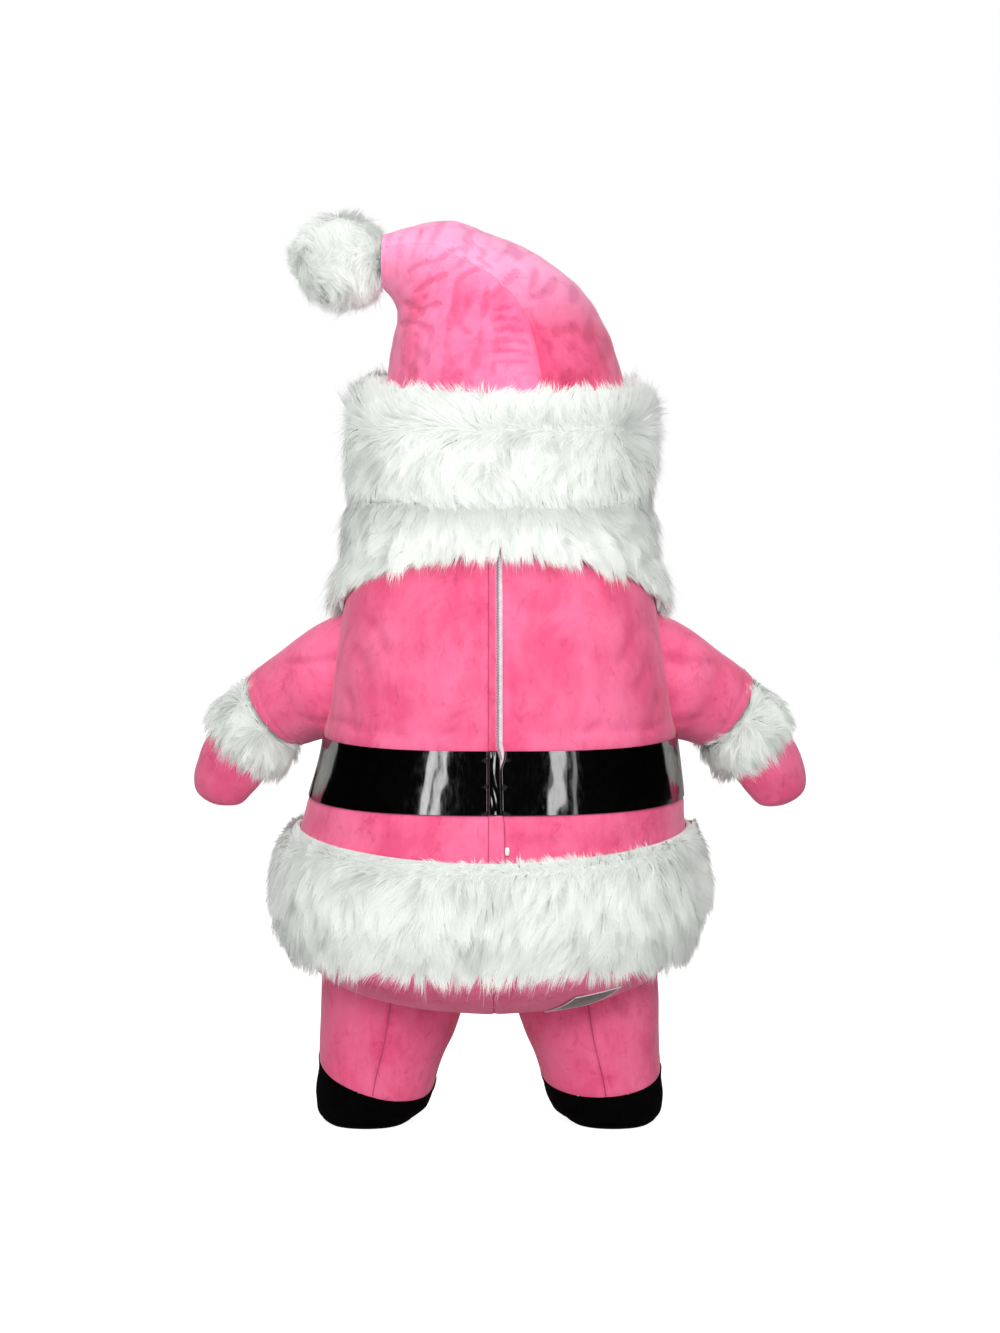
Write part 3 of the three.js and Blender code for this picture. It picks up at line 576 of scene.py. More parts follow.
def patent():
    """Black patent vinyl, slightly wavy, with fine dust and scuffs."""
    material, tree, shader = new_material("black_patent", Roughness=0.09, Coat_Weight=1.0, Coat_Roughness=0.04)
    shader.inputs["Specular IOR Level"].default_value = 0.9
    color = ramp(tree, noise(tree, 50, 3), (0.3, linear(1, 1, 1)), (0.7, linear(4, 4, 4)))
    tree.links.new(color, shader.inputs["Base Color"])
    dust = noise(tree, 160, 4, (1, 1, 0.3))
    scuffs = ramp(tree, dust, (0.4, (0.06, 0.06, 0.06, 1)), (0.8, (0.2, 0.2, 0.2, 1)))
    tree.links.new(scuffs, shader.inputs["Roughness"])
    ripples = noise(tree, 24, 2, (1, 1, 0.25))
    bump(tree, shader, (ripples, 0.16, 0.004), (noise(tree, 700, 1), 0.04, 0.0003))
    return material


def plain_cloth(name, color, scale, depth):
    """Woven cloth or tape: two crossed waves of threads over a soft change of shade."""
    material, tree, shader = new_material(name, Roughness=0.8)
    shaded = ramp(tree, noise(tree, 60, 3), (0.35, dulled(color, 0.82)), (0.65, color))
    tree.links.new(shaded, shader.inputs["Base Color"])
    coordinates = node(tree, "ShaderNodeTexCoord")
    layers = []
    for direction in ("X", "Z"):
        wave = node(tree, "ShaderNodeTexWave", bands_direction=direction, Scale=scale)
        tree.links.new(coordinates.outputs["Object"], wave.inputs["Vector"])
        layers.append((wave.outputs["Fac"], 0.5, depth))
    bump(tree, shader, *layers)
    return material


def smooth_plastic(name, color, roughness, coat=0.0):
    material, tree, shader = new_material(name, Roughness=roughness, Coat_Weight=coat)
    shaded = ramp(tree, noise(tree, 120, 2), (0.3, dulled(color, 0.85)), (0.7, color))
    tree.links.new(shaded, shader.inputs["Base Color"])
    bump(tree, shader, (noise(tree, 900, 2), 0.05, 0.0002))
    return material


PINK = velour("pink_velour", linear(253, 121, 163), linear(249, 110, 152), linear(241, 94, 138))
# A darker copy of the pink for the upper flap: painted shade of the flap's roll over the zip.
SHADED_FLAP_PINK = velour("pink_velour_painted_shade", linear(246, 110, 150), linear(238, 96, 138), linear(228, 80, 122))
# Both hat materials are painted paler higher up, as light from above on top of the nap.
HAT_PINK = velour("pink_velour_hat_right", linear(246, 110, 150), linear(238, 98, 140), linear(230, 82, 125),
                  painted_light_from=0.38)
PALE_PINK = velour("pink_velour_brushed_up", linear(254, 140, 184), linear(252, 126, 170), linear(247, 106, 151),
                   painted_light_from=0.46)
BOOT = velour("black_plush", linear(9, 8, 9), linear(6, 5, 6), linear(4, 3, 4), 0.0, 0.3, 0.04)
SKIN = velour("face_plush", linear(242, 199, 168), linear(236, 186, 152), linear(228, 172, 138), 0.2)
NOSE = velour("nose_plush", linear(236, 150, 124), linear(228, 136, 112), linear(218, 122, 100), 0.2)
# The fur's dark end is painted shade, reached at the strands' roots and where painted shadow falls under an
# overhang.
FUR = fur_material("white_fur", linear(247, 250, 246), linear(146, 153, 147))
BACKING = fur_backing("fur_backing", linear(232, 237, 232))
PATENT = patent()
TAPE = plain_cloth("zip_tape_cloth", linear(242, 218, 230), 260, 0.0004)
# The teeth's mauve is their own colour darkened as painted shade, for the flap's shadow over them.
SHADED_TEETH = smooth_plastic("zip_teeth_plastic_shaded", linear(142, 112, 130), 0.35)
SLIDER = smooth_plastic("zip_slider_plastic", linear(248, 246, 246), 0.25, 0.3)
MESH = plain_cloth("vent_net_thread", linear(176, 172, 166), 400, 0.0004)
# Painted shade: a dark sheet behind the vent's net, for the shaded hollow inside seen through it.
VENT_SHADE = plain_cloth("vent_painted_shade", linear(58, 55, 52), 300, 0.0004)
EYE = smooth_plastic("eye_black", linear(12, 10, 10), 0.08, 1.0)
THREAD = plain_cloth("pink_thread", linear(208, 78, 118), 500, 0.0003)


# Meshes

def new_piece(name, points, faces, material, nodes=(), sides=4):
    """A smooth mesh piece of equal-sided faces that rides on the body and stands for its nodes."""
    mesh = bpy.data.meshes.new(name)
    faces = np.asarray(faces, np.int32).reshape(-1, sides)
    points = metres(points).astype(np.float32).reshape(-1, 3)
    mesh.vertices.add(len(points))
    mesh.vertices.foreach_set("co", points.ravel())
    mesh.loops.add(faces.size)
    mesh.loops.foreach_set("vertex_index", faces.ravel())
    mesh.polygons.add(len(faces))
    mesh.polygons.foreach_set("loop_start", np.arange(0, faces.size, sides, dtype=np.int32))
    mesh.update(calc_edges=True)
    mesh.validate()
    mesh.shade_smooth()
    piece = bpy.data.objects.new(name, mesh)
    bpy.context.scene.collection.objects.link(piece)
    mesh.materials.append(material)
    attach(piece, BODY_NAME)
    if nodes:
        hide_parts(*nodes)
    return piece


def quads(rows, columns, ring, start=0, flip=False):
    """Faces of a grid of points, rows first. A ring joins its last column to its first."""
    width = columns if ring else columns + 1
    j, i = np.meshgrid(np.arange(rows), np.arange(columns), indexing="ij")
    after = (i + 1) % width
    corners = [j * width + i, j * width + after, (j + 1) * width + after, (j + 1) * width + i]
    if flip:
        corners.reverse()
    return np.stack(corners, axis=-1).reshape(-1, 4) + start


def wall(outer, inner, ring):
    """Points and faces of a closed wall between two skins of the same grid."""
    rows = outer.shape[0] - 1
    width = outer.shape[1]
    columns = width if ring else width - 1
    points = np.concatenate([outer.reshape(-1, 3), inner.reshape(-1, 3)])
    half = outer.shape[0] * width
    faces = [quads(rows, columns, ring), quads(rows, columns, ring, half, True)]
    i = np.arange(columns)
    after = (i + 1) % width
    last = rows * width
    faces.append(np.stack([i, i + half, after + half, after], axis=-1))
    faces.append(np.stack([last + i, last + after, last + after + half, last + i + half], axis=-1))
    if not ring:
        j = np.arange(rows) * width
        for edge in (0, columns):
            side = np.stack([j + edge, j + width + edge, j + width + edge + half, j + edge + half], axis=-1)
            faces.append(side if edge == 0 else side[:, ::-1])
    faces = np.concatenate(faces)
    # Faces point out when the wall's volume comes out above zero.
    a, b, c, d = [points[faces[:, k]] for k in range(4)]
    volume = np.einsum("ij,ij->i", a, np.cross(b, c)).sum()
    volume += np.einsum("ij,ij->i", a, np.cross(c, d)).sum()
    return points, faces if volume > 0 else faces[:, ::-1]


def cut_from(grid, ring, faces=None):
    """Width, length and area, in metres, of the flat cut that a form's grid of points takes."""
    grid = metres(grid)
    rows = np.concatenate([grid, grid[:, :1]], axis=1) if ring else grid
    width = np.linalg.norm(np.diff(rows, axis=1), axis=-1).sum(axis=1).max()
    length = np.linalg.norm(np.diff(grid, axis=0), axis=-1).sum(axis=0).max()
    if faces is None:
        faces = quads(grid.shape[0] - 1, grid.shape[1] - (not ring), ring)
    a, b, c, d = [grid.reshape(-1, 3)[faces[:, k]] for k in range(4)]
    area = np.linalg.norm(np.cross(c - a, d - b), axis=-1).sum() / 2
    return float(width), float(length), float(min(area, width * length))


def paint(piece, name, values):
    """Keeps a grey value for each point of a piece, for its material."""
    color = np.stack([values, values, values, np.ones_like(values)], axis=-1).astype(np.float32)
    attribute = piece.data.color_attributes.new(name=name, type="FLOAT_COLOR", domain="POINT")
    attribute.data.foreach_set("color", color.ravel())


# Fur strands

def strand_piece(name, facing, soft, paths, widths, shades, material, nodes):
    """One mesh of flat tapering strands. paths holds each strand's points, root first, and soft the normals
    that light is worked out with."""
    count, points = paths.shape[:2]
    along = unit(paths[:, 1:] - paths[:, :-1])
    across = unit(np.cross(along, facing[:, None, :]))
    half = 0.5 * widths[:, None] * np.linspace(1, 0.5, points)[None, :-1]
    left = paths[:, :-1] - across * half[..., None]
    right = paths[:, :-1] + across * half[..., None]
    vertices = np.concatenate([np.stack([left, right], axis=2).reshape(count, -1, 3), paths[:, -1:]], axis=1)
    per = vertices.shape[1]
    triangles = []
    for k in range(points - 2):
        a = 2 * k
        triangles += [(a, a + 1, a + 3), (a, a + 3, a + 2)]
    triangles.append((per - 3, per - 2, per - 1))
    faces = np.array(triangles)[None] + (np.arange(count) * per)[:, None, None]
    piece = new_piece(name, vertices.reshape(-1, 3), faces.reshape(-1, 3), material, nodes, 3)
    rise = np.concatenate([np.repeat(np.linspace(0, 1, points)[:-1], 2), [1.0]])
    # Painted shade: the colour darkens towards each strand's root, where the strands would shade each other.
    tone = np.clip(shades[:, None] * mix(0.5, 1.0, rise ** 0.7)[None], 0, 1).ravel()
    paint(piece, "shade", tone)
    # White hairs let light through, so they throw next to no shadow on each other.
    piece.visible_shadow = False
    piece.data.normals_split_custom_set_from_vertices(np.repeat(soft, per, axis=0).astype(np.float32))
    return piece


def nearest_cell(u, v, cells_u, cells_v, rng):
    """For each place, the jittered cell whose middle is nearest, as an index with that middle."""
    jitter = rng.uniform(-0.45, 0.45, (cells_u, cells_v + 2, 2))
    at_u, at_v = u * cells_u, np.clip(v, 0, 1) * cells_v
    best = np.full(len(u), 1e9)
    index = np.zeros((len(u), 2), int)
    middle = np.zeros((len(u), 2))
    for du in (-1, 0, 1):
        for dv in (-1, 0, 1):
            i = np.floor(at_u).astype(int) + du
            j = np.clip(np.floor(at_v).astype(int) + dv, 0, cells_v + 1)
            wrapped = i % cells_u
            x = i + 0.5 + jitter[wrapped, j, 0]
            y = j + 0.5 + jitter[wrapped, j, 1]
            distance = (x - at_u) ** 2 + (y - at_v) ** 2
            closer = distance < best
            best = np.where(closer, distance, best)
            index[closer] = np.stack([wrapped, j], axis=-1)[closer]
            middle[closer] = np.stack([x / cells_u, y / cells_v], axis=-1)[closer]
    return index[:, 0] * (cells_v + 2) + index[:, 1], middle


CAMERA_AWAY, CAMERA_UP = 5.0, 1.2


def build_camera():
    data = bpy.data.cameras.new("photo_camera")
    camera = bpy.data.objects.new("photo_camera", data)
    bpy.context.scene.collection.objects.link(camera)
    # The photo's height, the focal length and the horizon's row, in its pixels.
    image_height, focal_pixels, horizon = 1333, 2174, 596
    data.sensor_width = 36
    data.lens = data.sensor_width * focal_pixels / image_height
    data.shift_y = (horizon - image_height / 2) / image_height
    camera.location = (0, CAMERA_AWAY, CAMERA_UP - SHOULDER_HEIGHT * MM)
    camera.rotation_euler = (math.radians(90), 0, math.radians(180))
    bpy.context.scene.camera = camera


def area_light(name, location, target, size, power, mirrored_in_gloss=True):
    data = bpy.data.lights.new(name, "AREA")
    data.shape = "RECTANGLE"
    data.size, data.size_y = size
    data.energy = power
    lamp = bpy.data.objects.new(name, data)
    lamp.location = location
    lamp.visible_glossy = mirrored_in_gloss
    lamp.rotation_euler = (Vector(target) - Vector(location)).to_track_quat("-Z", "Y").to_euler()
    bpy.context.scene.collection.objects.link(lamp)


MIDDLE = (0, 0, -0.5)
FLOOR_HALF, FLOOR_BELOW = 30, 0.001
PANEL_AWAY, PANEL_UP, PANEL_TALL = 3.545, 0.75, 3.2
PANELS = [
    # name, degrees from straight behind the costume, width in metres, power in watts
    ("softbox_left_outer", 27.8, 0.3, 17),
    ("softbox_left_inner", 22.8, 0.2, 11),
    ("softbox_right_inner", -23, 0.36, 17),
    ("softbox_right_outer", -31, 0.2, 4),
]


def build_floor():
    """A sweep whose own glow grows with the distance from the costume, up to the white of the wall."""
    mesh = bpy.data.meshes.new("studio_floor")
    z = -SHOULDER_HEIGHT * MM - FLOOR_BELOW
    corners = [(x * FLOOR_HALF, y * FLOOR_HALF, z) for x, y in ((-1, -1), (1, -1), (1, 1), (-1, 1))]
    mesh.from_pydata(corners, [], [(0, 1, 2, 3)])
    floor = bpy.data.objects.new("studio_floor", mesh)
    bpy.context.scene.collection.objects.link(floor)
    material, tree, shader = new_material("studio_floor", Roughness=0.9)
    settings(shader, Base_Color=(0.4, 0.4, 0.4, 1), Emission_Color=WHITE)
    coordinates = node(tree, "ShaderNodeTexCoord")
    away = node(tree, "ShaderNodeVectorMath", operation="LENGTH")
    glow = settings(node(tree, "ShaderNodeMapRange"), From_Min=0.6, From_Max=1.8, To_Min=0.72, To_Max=1.0)
    path = node(tree, "ShaderNodeLightPath")
    seen = node(tree, "ShaderNodeMath", operation="MULTIPLY_ADD")
    seen.inputs[1].default_value = 0.9
    seen.inputs[2].default_value = 0.1
    shown = node(tree, "ShaderNodeMath", operation="MULTIPLY")
    link(tree, (coordinates.outputs["Object"], away.inputs[0]), (away.outputs["Value"], glow.inputs["Value"]),
         (path.outputs["Is Camera Ray"], seen.inputs[0]), (glow.outputs["Result"], shown.inputs[0]),
         (seen.outputs["Value"], shown.inputs[1]),
         (shown.outputs["Value"], shader.inputs["Emission Strength"]))
    mesh.materials.append(material)


def build_lights():
    for name, degrees, width, power in PANELS:
        turn = math.radians(degrees)
        place = (PANEL_AWAY * math.sin(turn), PANEL_AWAY * math.cos(turn), PANEL_UP)
        area_light(name, place, MIDDLE, (width, PANEL_TALL), power)
    area_light("top_light", (0, 0.9, 3.0), MIDDLE, (3, 2), 32, False)
    area_light("camera_fill", (0, 4.4, 2.0), MIDDLE, (2.4, 1.6), 120, False)
    area_light("front_fill", (0, -4.5, 1.4), MIDDLE, (3, 2.5), 120)


def build_world():
    """Pale walls before and behind the costume, darker ones at its sides, and dark ones in what is glossy."""
    world = bpy.data.worlds.new("studio")
    bpy.context.scene.world = world
    world.use_nodes = True
    tree = world.node_tree
    background = settings(tree.nodes["Background"], Color=WHITE)
    coordinates = node(tree, "ShaderNodeTexCoord")
    parts = node(tree, "ShaderNodeSeparateXYZ")
    squared = node(tree, "ShaderNodeMath", operation="POWER")
    squared.inputs[1].default_value = 2
    ambient = settings(node(tree, "ShaderNodeMapRange"), To_Min=0.42, To_Max=0.04)
    path = node(tree, "ShaderNodeLightPath")
    matt = settings(node(tree, "ShaderNodeMapRange"), To_Min=1, To_Max=0.02)
    dimmed = node(tree, "ShaderNodeMath", operation="MULTIPLY")
    seen = node(tree, "ShaderNodeMath", operation="MAXIMUM")
    link(tree, (coordinates.outputs["Generated"], parts.inputs["Vector"]),
         (parts.outputs["X"], squared.inputs[0]), (squared.outputs["Value"], ambient.inputs["Value"]),
         (path.outputs["Is Glossy Ray"], matt.inputs["Value"]),
         (ambient.outputs["Result"], dimmed.inputs[0]), (matt.outputs["Result"], dimmed.inputs[1]),
         (path.outputs["Is Camera Ray"], seen.inputs[0]), (dimmed.outputs["Value"], seen.inputs[1]),
         (seen.outputs["Value"], background.inputs["Strength"]))
    bpy.context.scene.view_settings.view_transform = "Standard"


# Body

BACK_CREASES = [
    # x, z, to x, to z, width, depth
    (112, 934, 50, 960, 7, 1.4),
    (130, 902, 84, 918, 6, 1.0),
    (298, 1168, 236, 1058, 16, 2.6),
    (330, 1110, 282, 996, 18, 2.2),
    (346, 1012, 318, 902, 14, 2.8),
    (372, 930, 300, 906, 11, 2.6),
    (-300, 1150, -246, 1040, 16, 2.4),
    (-338, 1090, -290, 990, 17, 2.2),
    (-350, 1000, -322, 908, 14, 2.6),
    (-372, 936, -306, 902, 10, 2.4),
    (-166, 1080, -150, 905, 20, 1.5),
    (188, 1210, 176, 1020, 24, 1.6),
    (-226, 940, -170, 906, 12, 1.6),
    (230, 905, 180, 880, 10, 1.6),
    (60, 1250, 44, 1120, 16, 1.2),
    (-70, 1230, -52, 1090, 14, 1.2),
]
FRONT_CREASES = [
    (120, 928, 40, 952, 9, 1.8),
    (-150, 940, -60, 914, 10, 1.8),
    (330, 1040, 290, 900, 18, 2.6),
    (-334, 1050, -284, 908, 18, 2.6),
    (372, 926, 296, 904, 11, 2.8),
    (-372, 930, -300, 900, 11, 2.8),
    (214, 936, 160, 890, 14, 1.8),
    (-210, 920, -150, 886, 13, 1.6),
    (60, 930, 52, 880, 16, 1.4),
]


def body_relief(points, u, v):
    """Creases and soft swells of the body's cloth, in millimetres out from its form."""
    x, y, z = points[..., 0], points[..., 1], points[..., 2]
    belt_z = z - BELT_RISE * np.clip(np.abs(x) / BELT_REACH, 0, 1) ** 4
    relief = np.where(y > 0, grooves(x, z, BACK_CREASES), grooves(x, z, FRONT_CREASES))
    relief = relief + 1.6 * waves(points, 260, 11) + 0.7 * waves(points, 90, 12)
    pucker = np.sin(z / 9.0 + 2 * np.sin(z / 41.0)) * np.exp(-((np.abs(x) - 24) / 12) ** 2) * (y > 0)
    swell = np.exp(-(((belt_z - 884) / 14) ** 2)) + np.exp(-(((belt_z - 716) / 14) ** 2))
    relief = relief + 0.35 * pucker + 2.2 * swell * (0.7 + 0.3 * waves(points, 120, 13))
    # The belt presses the cloth flat.
    below = smooth(belt_z, BELT_BOTTOM - 12, BELT_BOTTOM + 4)
    under_belt = below * (1 - smooth(belt_z, BELT_TOP - 4, BELT_TOP + 12))
    return relief * (1 - under_belt) - 0.6 * under_belt


def upright(points, u=None, v=None):
    """The upright line through the middle of the body."""
    middle = points.copy()
    middle[..., 0] = lean(points[..., 2])
    middle[..., 1] = 0
    return middle


def outward_normals(form, middle, u, v):
    """Points of a form with their normals, turned away from its middle."""
    points = form(u, v)
    normals = normals_of(form, u, v)
    side = np.sign(np.sum(normals * (points - middle(points, u, v)), axis=-1, keepdims=True))
    return points, normals * np.where(side == 0, 1, side)


def grid_of(rows, columns, ring):
    v, u = np.meshgrid(np.linspace(0, 1, rows + 1), np.linspace(0, 1, columns + 1), indexing="ij")
    return (u[:, :-1], v[:, :-1]) if ring else (u, v)


def turned(shares, inset=0.012, crisp=0.002):
    """Shares along one way of a cloth, with an edge turned in at both ends, and how deep each lies."""
    low, high = shares[0], shares[-1]
    padded = np.concatenate([[low + inset, low, low, low + crisp], shares[1:-1],
                             [high - crisp, high, high, high - inset]])
    deep = np.zeros(len(padded))
    deep[[0, 1, -2, -1]] = 1
    return padded, deep


def troughs(height, ring, full_depth):
    """How far each point lies down in a crease of the relief, from 0 to 1, for painted shade that darkens the
    pile's colour there.
    """
    shifts = (-4, -2, 0, 2, 4)
    around = sum(np.roll(height, (i, j), (0, 1)) for i in shifts for j in shifts) / len(shifts) ** 2
    crease_shade = np.clip((around - height) / full_depth, 0, 1)
    margin = shifts[-1] + 1
    crease_shade[:margin] = 0
    crease_shade[-margin:] = 0
    if not ring:
        crease_shade[:, :margin] = 0
        crease_shade[:, -margin:] = 0
    return crease_shade


def shell(name, form, middle, rows, columns, ring, material, nodes, relief=None, thickness=CLOTH,
          keep=None, lift=0.0, crowd=None, crease_shade_depth=1.6):
    """A skin of cloth on a form of two shares, with turned-in edges and with relief along its normals. keep
    tells which points stay, and crowd moves the columns."""
    down, deep_down = turned(np.linspace(0, 1, rows + 1))
    across = np.linspace(0, 1, columns + 1)
    if crowd:
        across = crowd(across)
    across, deep_across = (across[:-1], np.zeros(columns)) if ring else turned(across)
    v, u = np.meshgrid(down, across, indexing="ij")
    depth = np.maximum(*np.meshgrid(deep_down, deep_across, indexing="ij")) * thickness
    points, normals = outward_normals(form, middle, u, v)
    height = (relief(points, u, v) if relief else 0 * u) + lift - depth
    corners = (points + normals * height[..., None]).reshape(-1, 3)
    faces = quads(u.shape[0] - 1, u.shape[1] - (not ring), ring)
    a, b, d = [corners[faces[:, k]] for k in (0, 1, 3)]
    out = normals.reshape(-1, 3)[faces[:, 0]]
    if np.sum(np.cross(b - a, d - a) * out) < 0:
        faces = faces[:, ::-1]
    if keep is not None:
        faces = faces[keep(corners)[faces].any(axis=1)]
    piece = new_piece(name, corners, faces, material, nodes)
    cut_from(points, ring, faces)
    # Painted shade for the creases, kept on the points for the material.
    paint(piece, "crease_shade", troughs(height + depth, ring, crease_shade_depth).ravel())
    return piece


def side_name(side):
    return "left" if side > 0 else "right"


def tube_on(form, middle, u, v, radius, lift, sides=6):
    """Points and faces of a thin tube along a line of shares on a form."""
    u, v = np.broadcast_arrays(np.asarray(u, float)[:, None], np.asarray(v, float)[:, None])
    points, normals = outward_normals(form, middle, u, v)
    along = unit(np.gradient(points[:, 0], axis=0))[:, None, :]
    across = np.cross(along, normals)
    turn = np.linspace(0, TURN, sides + 1)[:-1]
    ring = across * np.cos(turn)[None, :, None] + normals * np.sin(turn)[None, :, None]
    return (points + normals * lift + ring * radius).reshape(-1, 3), quads(len(points) - 1, sides, True)


def seam_thread(name, form, middle, u, v, lift, radius=1.2):
    """A line of stitches, sunk in its seam."""
    corners, faces = tube_on(form, middle, u, v, radius, lift)
    return new_piece(name, corners, faces, THREAD)


# Cloth panels

def outside_arms(points):
    """True for points that no arm's hollow holds."""
    free = np.ones(len(points), bool)
    stations = np.linspace(SLEEVE_START, 2.2, 17)
    centres, _, up, deep = arm_frame(stations)
    half = look(SLEEVE, "station", "half_height", stations) - 12
    for side in (1, -1):
        for centre, radius in zip(mirrored(centres, side), 0.68 * half):
            free &= np.linalg.norm(points - centre, axis=1) > radius
    return free


def build_body():
    edge = SEAM / 2 / 440
    spans = [("body_back_left", 0, QUARTER, 84), ("body_back_right", QUARTER, math.pi, 84),
             ("body_front", math.pi, TURN, 90)]
    for name, start, end, columns in spans:
        def form(u, v, start=start, end=end):
            height = mix(SHOULDER_HEIGHT, BASE_RIM + SEAM / 2, v)
            return body_point(mix(start + edge, end - edge, u), height)

        shell(name + "_velour", form, upright, 120, columns, False, PINK, [name], body_relief,
              keep=outside_arms)


def build_base():
    """The bowl in two halves that meet in a sewn seam under the zip."""
    for side in (1, -1):
        def form(u, v, side=side):
            height = BASE_RIM - SEAM / 2 - BASE_DEPTH * np.sin(np.clip(v, 0, 0.97) * QUARTER)
            half_width = body_section(height)[0]
            to_seam = np.clip((BASE_SEAM_X - lean(height)) / half_width, -0.97, 0.97)
            reach = np.arccos(to_seam) if side > 0 else math.pi - np.arccos(to_seam)
            turn = mix(-reach, reach, u) + (0 if side > 0 else math.pi)
            return body_point(turn, height)

        def relief(points, u, v):
            seam = np.exp(-(((points[..., 0] - BASE_SEAM_X) / 5) ** 2))
            pucker = np.exp(-(((points[..., 0] - BASE_SEAM_X) / 22) ** 2)) * np.sin(points[..., 2] / 3.4)
            return 1.8 * waves(points, 120, 21) - 2.2 * seam + 0.5 * pucker

        shell("base_%s_velour" % side_name(side), form, upright, 24, 64, False, PINK,
              ["base_" + side_name(side)], relief)
        if side > 0:
            seam_thread("base_seam_thread", form, upright, 0.998 + np.zeros(40), np.linspace(0, 0.94, 40), -1.6)


LEG_CREASES = [
    # round the leg, height, to round, to height, width, depth, all in millimetres
    (40, 330, 90, 250, 10, 2.2),
    (300, 340, 250, 240, 11, 2.4),
    (330, 260, 290, 170, 9, 1.8),
    (20, 240, 60, 160, 9, 1.6),
    (180, 350, 200, 280, 14, 1.4),
    (480, 300, 540, 220, 12, 2.0),
    (700, 330, 650, 230, 12, 2.2),
    (600, 220, 640, 150, 10, 1.6),
]


LEG_ROUND = 960


def build_legs():
    for side in (1, -1):
        name = side_name(side)

        def middle(points, u, v, side=side):
            centre = points.copy()
            height = points[..., 2]
            centre[..., 0] = side * look(LEG, "height", "centre_x", height) + lean(height)
            centre[..., 1] = 0
            return centre

        def leg(u, v, side=side):
            angle = QUARTER + u * TURN
            return leg_point(side, angle, mix(boot_top(side, angle) + SEAM, LEG_TOP, v), 0)

        def leg_relief(points, u, v, side=side):
            round_it = np.where(side > 0, u, 1 - u) * LEG_ROUND
            relief = grooves(round_it, points[..., 2], LEG_CREASES) + 1.4 * waves(points, 130, 31 + side)
            seam = np.exp(-((np.minimum(u, 1 - u) * LEG_ROUND / 5) ** 2))
            hem = np.exp(-((v / 0.03) ** 2))
            return relief - 1.6 * seam - 1.2 * hem

        shell("leg_%s_velour" % name, leg, middle, 44, 96, True, PINK, ["leg_" + name],
              leg_relief)
        seam_thread("leg_%s_seam_thread" % name, leg, middle, np.zeros(40), np.linspace(0.01, 0.99, 40), -1.5)

        def boot(u, v, side=side):
            angle = QUARTER + u * TURN
            return leg_point(side, angle, mix(SOLE, boot_top(side, angle), v), 0)

        def boot_relief(points, u, v):
            roll = 2.4 * np.exp(-(((1 - v) / 0.1) ** 2))
            welt = -1.5 * np.exp(-((v / 0.04) ** 2))
            return roll + welt + 1.3 * waves(points, 70, 35)

        shell("boot_%s_plush" % name, boot, middle, 26, 80, True, BOOT, ["boot_" + name],
              boot_relief)

        def sole(u, v, side=side):
            angle = QUARTER + u * TURN
            edge = np.clip(v / 0.5, 0, 1)
            inset = np.clip((v - 0.5) / 0.5, 0, 1)
            point = leg_point(side, angle, mix(SOLE - SEAM, 0, edge), 1.2 * np.sin(np.pi * edge))
            centre = middle(point, u, v)
            return mix(point, centre, 0.96 * inset[..., None])

        u, v = grid_of(16, 80, True)
        outer = sole(u, v)
        inner = outer.copy()
        inner[..., 2] = SOLE - SEAM
        inner = mix(inner, middle(inner, u, v), 0.02)
        corners, faces = wall(outer, inner, True)
        new_piece("sole_%s_rubber" % name, corners, faces, BOOT, ["sole_" + name])


SLEEVE_CREASES = [
    # round the arm, along it, to round, to along, width, depth, all in millimetres
    (120, 20, 210, 120, 12, 2.4),
    (300, 10, 260, 130, 12, 2.6),
    (430, 40, 380, 150, 12, 2.4),
    (560, 20, 500, 120, 14, 2.4),
    (60, 150, 120, 210, 10, 1.6),
    (620, 130, 560, 210, 10, 1.8),
]


SLEEVE_ROUND, SLEEVE_LONG = 680, 240
HAND_ROUND_IT = 480


